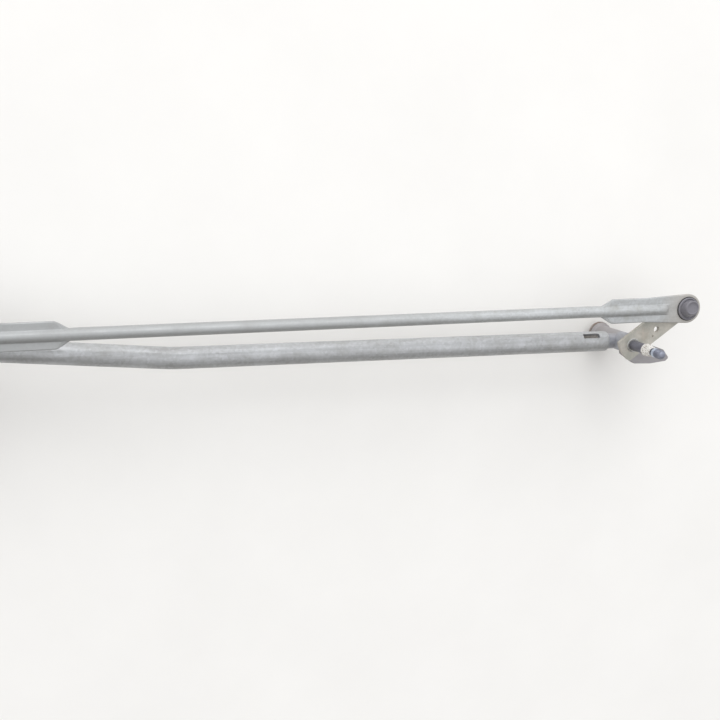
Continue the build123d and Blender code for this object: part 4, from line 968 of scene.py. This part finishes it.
@dataclass
class BallSocket:
    """Moulded ball socket of a link's head, with a sealing lip and a dished cap that leans a little."""

    node: str
    body: str
    wardrobe: Wardrobe
    lean: Pair = (0.0, 0.0)
    cap_height: float = 9.0
    foot_height: float = 2.2
    body_r: float = 9.2
    body_edge: float = 1.0
    ring_r: float = 11.1
    ring_steps: Steps = ((0.0, 0.01), (0.0, 1.4), (0.5, 2.0), (1.2, 2.1))
    groove_r: float = 9.0
    groove_half: float = 0.2
    groove_high: float = 1.2
    cap_foot_r: float = 8.4
    cap_r: float = 7.5
    cap_steps: Steps = ((-0.3, 5.3), (0.0, 2.0), (0.3, 0.9), (0.9, 0.2), (1.5, 0.0))
    dish_r: float = 5.4
    dish_steps: Steps = ((-0.3, 0.1), (0.2, 0.6), (3.24, 0.7))
    ball_r: float = 6.6
    ball_low: float = 2.0
    lip_thick: float = 0.5
    lip_out: float = 0.2
    lip_up: float = 0.5

    def build(self) -> None:
        """Build the socket and its lip in the CAD socket's place."""
        low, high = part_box(self.node)
        axis = foot(self.node)
        top = high.z / MM - self.cap_height
        socket = self.mould(low.z / MM, top)
        lip = Bench.torus(f"{self.node}_lip", self.ring_r + self.lip_out, self.lip_thick, top + self.lip_up)
        for piece, finish in ((socket, SOCKET_FINISH), (lip, RUBBER_FINISH)):
            Bench.move(piece, axis)
            self.wardrobe.send_out(piece, finish, self.body)
        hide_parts(self.node)

    def mould(self, low: float, top: float) -> Piece:
        """Turn the socket, lean its cap over, and hollow it for the ball.

        Args:
            low: Height of its lower end.
            top: Height of the link's upper face.

        Returns:
            The socket.
        """
        cap = top + self.cap_height
        rim = top + self.foot_height
        profile = [(self.body_r - self.body_edge, low), (self.body_r, low + self.body_edge),
                   (self.body_r, top)]
        profile += [(self.ring_r - inwards, top + up) for inwards, up in self.ring_steps]
        profile += [(self.groove_r + half, top + self.groove_high)
                    for half in (self.groove_half, -self.groove_half)]
        profile.append((self.cap_foot_r, rim))
        for radius, steps in ((self.cap_r, self.cap_steps), (self.dish_r, self.dish_steps)):
            profile += [(radius - inwards, cap - down) for inwards, down in steps]
        piece = Bench.turn(f"{self.node}_moulding", profile, sides=56)
        levels = {round(vertex.co.z / MM, 3) for vertex in bmesh.from_edit_mesh(piece.data).verts}
        for level in sorted(levels):
            if level > rim:
                Bench.pick(piece, lambda place: abs(place.z - level) < 0.002)
                share = (level - rim) / (self.cap_height - self.foot_height)
                bpy.ops.transform.translate(value=(self.lean[0] * share * MM, self.lean[1] * share * MM, 0.0))
        Bench.clear()
        bpy.ops.mesh.primitive_uv_sphere_add(segments=40, ring_count=24, radius=self.ball_r * MM,
                                             location=(0.0, 0.0, (top - self.ball_low) * MM))
        ball = bpy.context.object
        Bench.modify(piece, "BOOLEAN", object=ball, operation="DIFFERENCE", solver="EXACT")
        bpy.data.objects.remove(ball)
        Bench.smooth(piece, 40.0)
        return piece


@dataclass
class LinkEnd:
    """Pressed transitions at one end of a link: the bead's rounded nose and the flared shoulders."""

    name: str
    body: str
    finish: Finish
    wardrobe: Wardrobe
    top: float
    wing: float
    plate: float = 1.9
    bead_r: float = 5.2
    bead_rise: float = 3.0
    nose_at: float = 27.0
    nose_length: float = 6.3
    nose_swell: float = 1.08
    nose_tail: float = 7.0
    flare: float = 15.5
    root_y: float = 3.5
    tail_y: float = 4.8
    wing_y: float = 11.8
    leg_drop: float = 2.4
    web_sunk: float = 0.05
    cuts: int = 14
    roll: float = 0.8
    roll_angle: float = 50.0

    def build(self, ball: Vector, heading: float) -> None:
        """Build the transitions of one end and lay them on the link.

        Args:
            ball: Centre of the ball at this end, in metres.
            heading: Direction in degrees from this ball along the link.
        """
        piece = Bench.join(self.nose(), self.shoulders())
        Bench.move(piece, Vector((ball.x, ball.y, 0.0)), heading)
        Bench.smooth(piece, 45.0)
        self.wardrobe.send_out(piece, self.finish, self.body)

    def nose(self) -> Piece:
        """Shape the round nose in which the bead ends.

        Returns:
            The nose, in edit mode.
        """
        centre = (self.nose_at * MM, 0.0, (self.top - (self.bead_r - self.bead_rise)) * MM)
        Bench.clear()
        bpy.ops.mesh.primitive_uv_sphere_add(segments=40, ring_count=24, radius=self.bead_r * MM,
                                             location=centre)
        piece = Bench.begin(self.name)
        bpy.ops.transform.resize(value=(self.nose_length / self.bead_r, self.nose_swell, 1.0),
                                 center_override=centre)
        Bench.pick(piece, lambda at: at.x > self.nose_at + NEAR)
        bpy.ops.transform.translate(value=(self.nose_tail * MM, 0.0, 0.0))
        for place, normal in (((0.0, 0.0, self.top - self.plate / 2), (0.0, 0.0, -1.0)),
                              ((self.nose_at + self.nose_tail, 0.0, 0.0), (1.0, 0.0, 0.0))):
            bpy.ops.mesh.select_all(action="SELECT")
            bpy.ops.mesh.bisect(plane_co=tuple(value * MM for value in place), plane_no=normal, use_fill=True,
                                clear_outer=True)
        Bench.face_outwards()
        return piece

    def shoulders(self) -> Piece:
        """Shape the two webs that flare from the channel into the wings.

        Returns:
            Both webs, in object mode.
        """
        tail = self.wing + self.flare
        step = self.flare / self.cuts
        centre = ((self.wing + tail) / 2, (self.root_y + self.tail_y) / 2,
                  self.top - self.web_sunk - self.plate / 2)
        piece = Bench.block(f"{self.name}_web", centre, (self.flare, self.tail_y - self.root_y, self.plate))
        for number in range(1, self.cuts):
            bpy.ops.mesh.select_all(action="SELECT")
            bpy.ops.mesh.bisect(plane_co=((self.wing + number * step) * MM, 0.0, 0.0),
                                plane_no=(1.0, 0.0, 0.0))
        for number in range(self.cuts):
            place = self.wing + number * step
            share = (tail - place) / self.flare
            rise = (self.wing_y - self.tail_y) * share * share * (3.0 - 2.0 * share)
            drop = self.leg_drop * (1.0 - share) ** 2
            Bench.pick(piece, lambda at: abs(at.x - place) < NEAR and at.y > self.tail_y - NEAR)
            bpy.ops.transform.translate(value=(0.0, rise * MM, -drop * MM))
        Bench.modify(piece, "BEVEL", width=self.roll * MM, segments=3, limit_method="ANGLE",
                     angle_limit=math.radians(self.roll_angle))
        Bench.modify(piece, "MIRROR", use_axis=(False, True, False), use_mirror_merge=False)
        return piece


@dataclass
class StakePocket:
    """Ridged floor of the pocket that a tube is staked into, seen through its slot."""

    number: int
    mouth: Pair
    heading: float
    wardrobe: Wardrobe
    from_end: float = 19.7
    length: float = 16.8
    width: float = 5.0
    floor_r: float = 6.35
    base_thick: float = 0.5
    ridge_pitch: float = 1.65
    ridge_height: float = 1.0
    ridge_share: float = 0.55
    ridge_short: float = 0.4
    ridge_edge: float = 0.2
    lean: float = 45.0

    def build(self) -> None:
        """Build the ridged floor and lay it in its pocket."""
        name = f"stake_pocket_{self.number}"
        count = int(self.length / self.ridge_pitch)
        first = -self.from_end - (count - 1) * self.ridge_pitch / 2
        floor_high = self.floor_r + self.base_thick
        ridge_size = (self.ridge_share * self.ridge_pitch, self.width - self.ridge_short, self.ridge_height)
        base = Bench.block(name, (-self.from_end, 0.0, self.floor_r + self.base_thick / 2),
                           (self.length, self.width, self.base_thick))
        ridge = Bench.block(f"{name}_ridges", (first, 0.0, floor_high + self.ridge_height / 2), ridge_size)
        Bench.modify(ridge, "BEVEL", width=self.ridge_edge * self.ridge_pitch * MM, segments=2,
                     limit_method="ANGLE")
        Bench.modify(ridge, "ARRAY", count=count, use_relative_offset=False, use_constant_offset=True,
                     constant_offset_displace=(self.ridge_pitch * MM, 0.0, 0.0))
        piece = Bench.join(base, ridge)
        Bench.tip(piece, "X", -self.lean)
        Bench.move(piece, Vector((self.mouth[0] * MM, self.mouth[1] * MM, 0.0)), self.heading)
        self.wardrobe.send_out(piece, RIDGE_FINISH, "frame")


@dataclass
class Studio:
    """Floor, backdrop, lamps and camera of a plain photograph table."""

    floor_height: float = -0.0477
    floor_size: float = 9.0
    floor_x: float = 0.3
    floor_color: Triple = (0.85, 0.835, 0.805)
    floor_light: Triple = (0.88, 0.865, 0.835)
    eye: Triple = (0.16725, 0.22983, 0.845)
    aim: Triple = (0.39647, 0.04984, 0.026)
    up: Triple = (0.04125, 0.97822, -0.20343)
    lens: float = 47.764
    sky_side: Triple = (-0.05, 0.87, 0.49)
    sky_start: float = -0.7
    dim_sky: Triple = (0.16, 0.145, 0.125)
    bright_sky: Triple = (1.38, 1.40, 1.44)
    backdrop: Triple = (0.93, 0.93, 0.92)
    lamp_size: float = 2.2
    lamp_aim: Triple = (0.35, 0.05, 0.0)

    def build(self) -> None:
        """Set everything up."""
        self.floor()
        self.world()
        self.lamp("key_lamp", (0.2, 2.4, 1.5), 24.0)
        self.lamp("fill_lamp", (1.2, 0.2, 2.4), 4.0)
        self.camera()
        bpy.context.scene.view_settings.view_transform = "Standard"

    def floor(self) -> None:
        """Lay a pale floor with a slightly uneven tone."""
        Bench.clear()
        bpy.ops.mesh.primitive_plane_add(size=self.floor_size,
                                         location=(self.floor_x, 0.0, self.floor_height))
        floor = bpy.context.object
        floor.name = "studio_floor"
        pen = Painter(bpy.data.materials.new("pale_floor"))
        tone = pen.noise(pen.place, 6.0, 4.0, 0.6)
        color = pen.blend(pen.ramp(tone, 0.3, 0.7), self.floor_color, self.floor_light)
        rough = pen.ramp(tone, 0.3, 0.7, 0.75, 0.9)
        floor.data.materials.append(pen.close(color, rough, tone, 0.0002, 0.0, {"Specular IOR Level": 0.2}))

    def world(self) -> None:
        """Give a soft sky, dark grey below and towards -Y and brighter than white overhead and towards +Y.

        Only camera rays see the plain backdrop in its place.
        """
        world = bpy.data.worlds.new("studio_world")
        bpy.context.scene.world = world
        pen = Painter(world)
        facing = pen.add("ShaderNodeVectorMath", {0: pen.coordinates["Generated"], 1: self.sky_side},
                         operation="DOT_PRODUCT")
        share = pen.add("ShaderNodeMapRange", {"Value": facing.outputs["Value"], "From Min": self.sky_start},
                        interpolation_type="SMOOTHSTEP")
        color = pen.blend(share.outputs[0], self.dim_sky, self.bright_sky)
        sky = pen.add("ShaderNodeBackground", {"Color": color})
        plain = pen.add("ShaderNodeBackground", {"Color": self.backdrop})
        rays = pen.add("ShaderNodeLightPath").outputs["Is Camera Ray"]
        mix = pen.add("ShaderNodeMixShader", {0: rays, 1: sky.outputs[0], 2: plain.outputs[0]})
        pen.add("ShaderNodeOutputWorld", {"Surface": mix.outputs[0]})

    def lamp(self, name: str, place: Triple, power: float) -> None:
        """Hang a large soft lamp that shines at the object.

        Args:
            name: Name of the lamp.
            place: Where it hangs.
            power: Its power in watts.
        """
        data = bpy.data.lights.new(name, "AREA")
        data.shape = "DISK"
        data.size = self.lamp_size
        data.energy = power
        lamp = bpy.data.objects.new(name, data)
        lamp.location = place
        lamp.rotation_euler = (Vector(self.lamp_aim) - Vector(place)).to_track_quat("-Z", "Y").to_euler()
        bpy.context.scene.collection.objects.link(lamp)

    def camera(self) -> None:
        """Put the camera where the photograph was taken from."""
        data = bpy.data.cameras.new("photo_camera")
        data.lens = self.lens
        data.sensor_width = 36.0
        data.clip_start = 0.01
        camera = bpy.data.objects.new("photo_camera", data)
        forward = (Vector(self.aim) - Vector(self.eye)).normalized()
        right = forward.cross(Vector(self.up)).normalized()
        turned = Matrix((right, right.cross(forward), -forward)).transposed().to_4x4()
        camera.matrix_world = Matrix.Translation(self.eye) @ turned
        bpy.context.scene.collection.objects.link(camera)
        bpy.context.scene.camera = camera


@dataclass
class Linkage:
    """Spindles, levers, ball joints, links and crank."""

    wardrobe: Wardrobe
    long_wing: float = 81.0
    short_wing: float = 58.0
    cap_lean: Pair = (-0.4, 2.0)

    def build(self) -> None:
        """Dress the carried CAD nodes and build the detailed pieces."""
        dress = self.wardrobe.dress_nodes
        dress(LONG_LINK_FINISH, "coupling_link")
        dress(LINK_FINISH, "drive_link")
        dress(LEVER_FINISH, "right_lever", "left_lever", "motor_crank")
        dress(WASHER_FINISH, "right_thrust_washer", "left_thrust_washer", "crank_washer")
        dress(LOWER_WASHER_FINISH, "right_lower_washer", "left_lower_washer")
        dress(SPINDLE_FINISH, "right_retaining_clip", "left_retaining_clip", "output_shaft",
              "right_spindle", "left_spindle")
        dress(BRIGHT_FINISH, "right_ball_stud", "left_ball_stud", "crank_ball_stud", "crank_nut")
        dress(SOCKET_FINISH, "coupling_link_right_socket", "coupling_link_left_socket",
              "drive_link_lever_socket", "drive_link_crank_socket")
        dress(RUBBER_FINISH, "crank_ball_boot")
        for side in ("right", "left"):
            WiperSpindle(side, self.wardrobe).build()
        self.link_ends("coupling_link", "long_link", LONG_LINK_FINISH, self.long_wing,
                       ("coupling_link_left_socket", "coupling_link_right_socket"))
        self.link_ends("drive_link", "short_link", LINK_FINISH, self.short_wing,
                       ("drive_link_crank_socket", "drive_link_lever_socket"))
        BallSocket("coupling_link_right_socket", "long_link", self.wardrobe, lean=self.cap_lean).build()
        BallSocket("drive_link_lever_socket", "short_link", self.wardrobe).build()
        nut_low, nut_high = (corner.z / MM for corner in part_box("crank_nut"))
        nut = HexScrews("crank_nut", "crank", self.wardrobe, flats=13.0, head_low=nut_low, head_high=nut_high,
                        flange_r=8.0, flange_thick=1.4, shank_r=5.0, shank_low=nut_low)
        nut.build([foot("crank_nut")])

    def link_ends(self, link: str, body: str, finish: Finish, wing: float, sockets: tuple[str, str]) -> None:
        """Shape the transitions at both ends of a link.

        Args:
            link: Node of the link.
            body: Body that carries it.
            finish: Its finish.
            wing: From a ball to the shoulder of its wings.
            sockets: Nodes of its two ball sockets, the last one capped.
        """
        first, last = (middle(socket) for socket in sockets)
        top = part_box(sockets[1])[1].z / MM - BallSocket.cap_height
        run = last - first
        heading = math.degrees(math.atan2(run.y, run.x))
        for number, (ball, way) in enumerate(((first, heading), (last, heading + 180.0)), start=1):
            LinkEnd(f"{link}_end_{number}", body, finish, self.wardrobe, top, wing).build(ball, way)


@dataclass
class CarrierFrame:
    """Tubes, castings, bushes and mounting grommets."""

    wardrobe: Wardrobe
    tube_gap: float = 15.8
    bend_at: float = 445.8
    bend: float = 4.9
    long_leg: float = 190.0
    left_bar: float = 76.0
    spacer: float = 72.0
    bracket_top: float = 4.0
    screw_circle: float = 38.0
    screw_angles: tuple[float, ...] = (90.0, 210.0, 318.0)

    def build(self) -> None:
        """Dress the carried CAD nodes, and add the pockets' floors and the screws."""
        dress = self.wardrobe.dress_nodes
        dress(TUBE_FINISH, "carrier_tube", "spacer_tube")
        dress(RIGHT_CAST_FINISH, "right_pivot_housing")
        dress(CAST_FINISH, "left_pivot_housing", "motor_bracket", "gear_housing")
        dress(BRONZE_FINISH, "right_spindle_bushes", "left_spindle_bushes", "output_shaft_bushes",
              "worm_tail_bush", "front_bearing", "rear_bearing")
        dress(RUBBER_FINISH, "mounting_grommets")
        dress(WASHER_FINISH, "mounting_sleeves")
        dress(BRIGHT_FINISH, "bracket_screws")
        self.pockets()
        self.screws()

    def pockets(self) -> None:
        """Lay a ridged floor in the staked pocket at each tube end."""
        right = middle("right_spindle") / MM
        corner = Vector((right.x - self.bend_at, right.y))
        leg = Vector((-math.cos(math.radians(self.bend)), math.sin(math.radians(self.bend))))
        ends = [((right.x - self.tube_gap, right.y), 0.0)]
        for distance, back in ((self.long_leg, 0.0), (self.long_leg + self.left_bar, 180.0),
                               (self.long_leg + self.left_bar + self.spacer, 0.0)):
            ends.append((tuple(corner + leg * distance), 180.0 - self.bend + back))
        for number, (mouth, heading) in enumerate(ends, start=1):
            StakePocket(number, mouth, heading, self.wardrobe).build()

    def screws(self) -> None:
        """Screw the motor to its bracket."""
        places = [foot("output_shaft") + polar(self.screw_circle, angle) for angle in self.screw_angles]
        screws = HexScrews("bracket_screws", "frame", self.wardrobe, flats=10.0, head_low=self.bracket_top,
                           head_high=self.bracket_top + 6.0, flange_r=7.0, flange_thick=1.4, shank_r=3.0,
                           shank_low=-16.0)
        screws.build(places)


@dataclass
class GearedMotor:
    """Gear housing, cover, wheel and electric motor."""

    wardrobe: Wardrobe
    cover_depth: float = 39.0
    cover_circle: float = 37.0
    cover_angles: tuple[float, ...] = (35.0, 145.0, 250.0, 290.0)
    flange: float = 44.5
    ear_y: float = 33.5
    ear_z: float = 13.0

    def build(self) -> None:
        """Dress the carried CAD nodes and add the screws."""
        dress = self.wardrobe.dress_nodes
        dress(COVER_FINISH, "gear_cover", "shaft_seal_cap", "brush_holder")
        dress(ACETAL_FINISH, "worm_wheel")
        dress(BRIGHT_FINISH, "cover_screws", "can_screws")
        dress(COPPER_FINISH, "plug_terminals", "park_contacts", "park_contact_disc", "commutator")
        dress(WIRE_FINISH, "armature_windings")
        dress(CORE_FINISH, "armature_core")
        dress(SPINDLE_FINISH, "armature_shaft", "worm")
        dress(CAN_FINISH, "motor_can")
        dress(FERRITE_FINISH, "field_magnets", "carbon_brushes")
        self.screws()

    def screws(self) -> None:
        """Screw the cover on from below, and the can on along the motor's axis."""
        axis = foot("output_shaft")
        deep = self.cover_depth
        places = [axis + polar(self.cover_circle, angle) for angle in self.cover_angles]
        screws = HexScrews("cover_screws", "frame", self.wardrobe, flats=5.5, head_low=deep,
                           head_high=deep + 2.2, flange_r=3.6, flange_thick=0.7, shank_r=1.75,
                           shank_low=deep - 11.0, tip_angle=180.0)
        screws.build(places)
        worm = middle("worm")
        places = [Vector((axis.x, worm.y + side * self.ear_y * MM, worm.z + side * self.ear_z * MM))
                  for side in (-1, 1)]
        screws = HexScrews("can_screws", "frame", self.wardrobe, flats=8.0, head_low=self.flange,
                           head_high=self.flange + 3.5, flange_r=4.6, flange_thick=0.7, shank_r=2.5,
                           shank_low=self.flange - 7.5, tip_axis="Y", tip_angle=90.0)
        screws.build(places)


def main() -> None:
    """Build every sub-assembly and the studio."""
    logging.basicConfig(level=logging.INFO, format="%(message)s")
    wardrobe = Wardrobe()
    Bench.clear()
    for assembly in (CarrierFrame(wardrobe), Linkage(wardrobe), GearedMotor(wardrobe), Studio()):
        LOG.info("building %s", type(assembly).__name__)
        assembly.build()


if __name__ == "__main__":
    main()
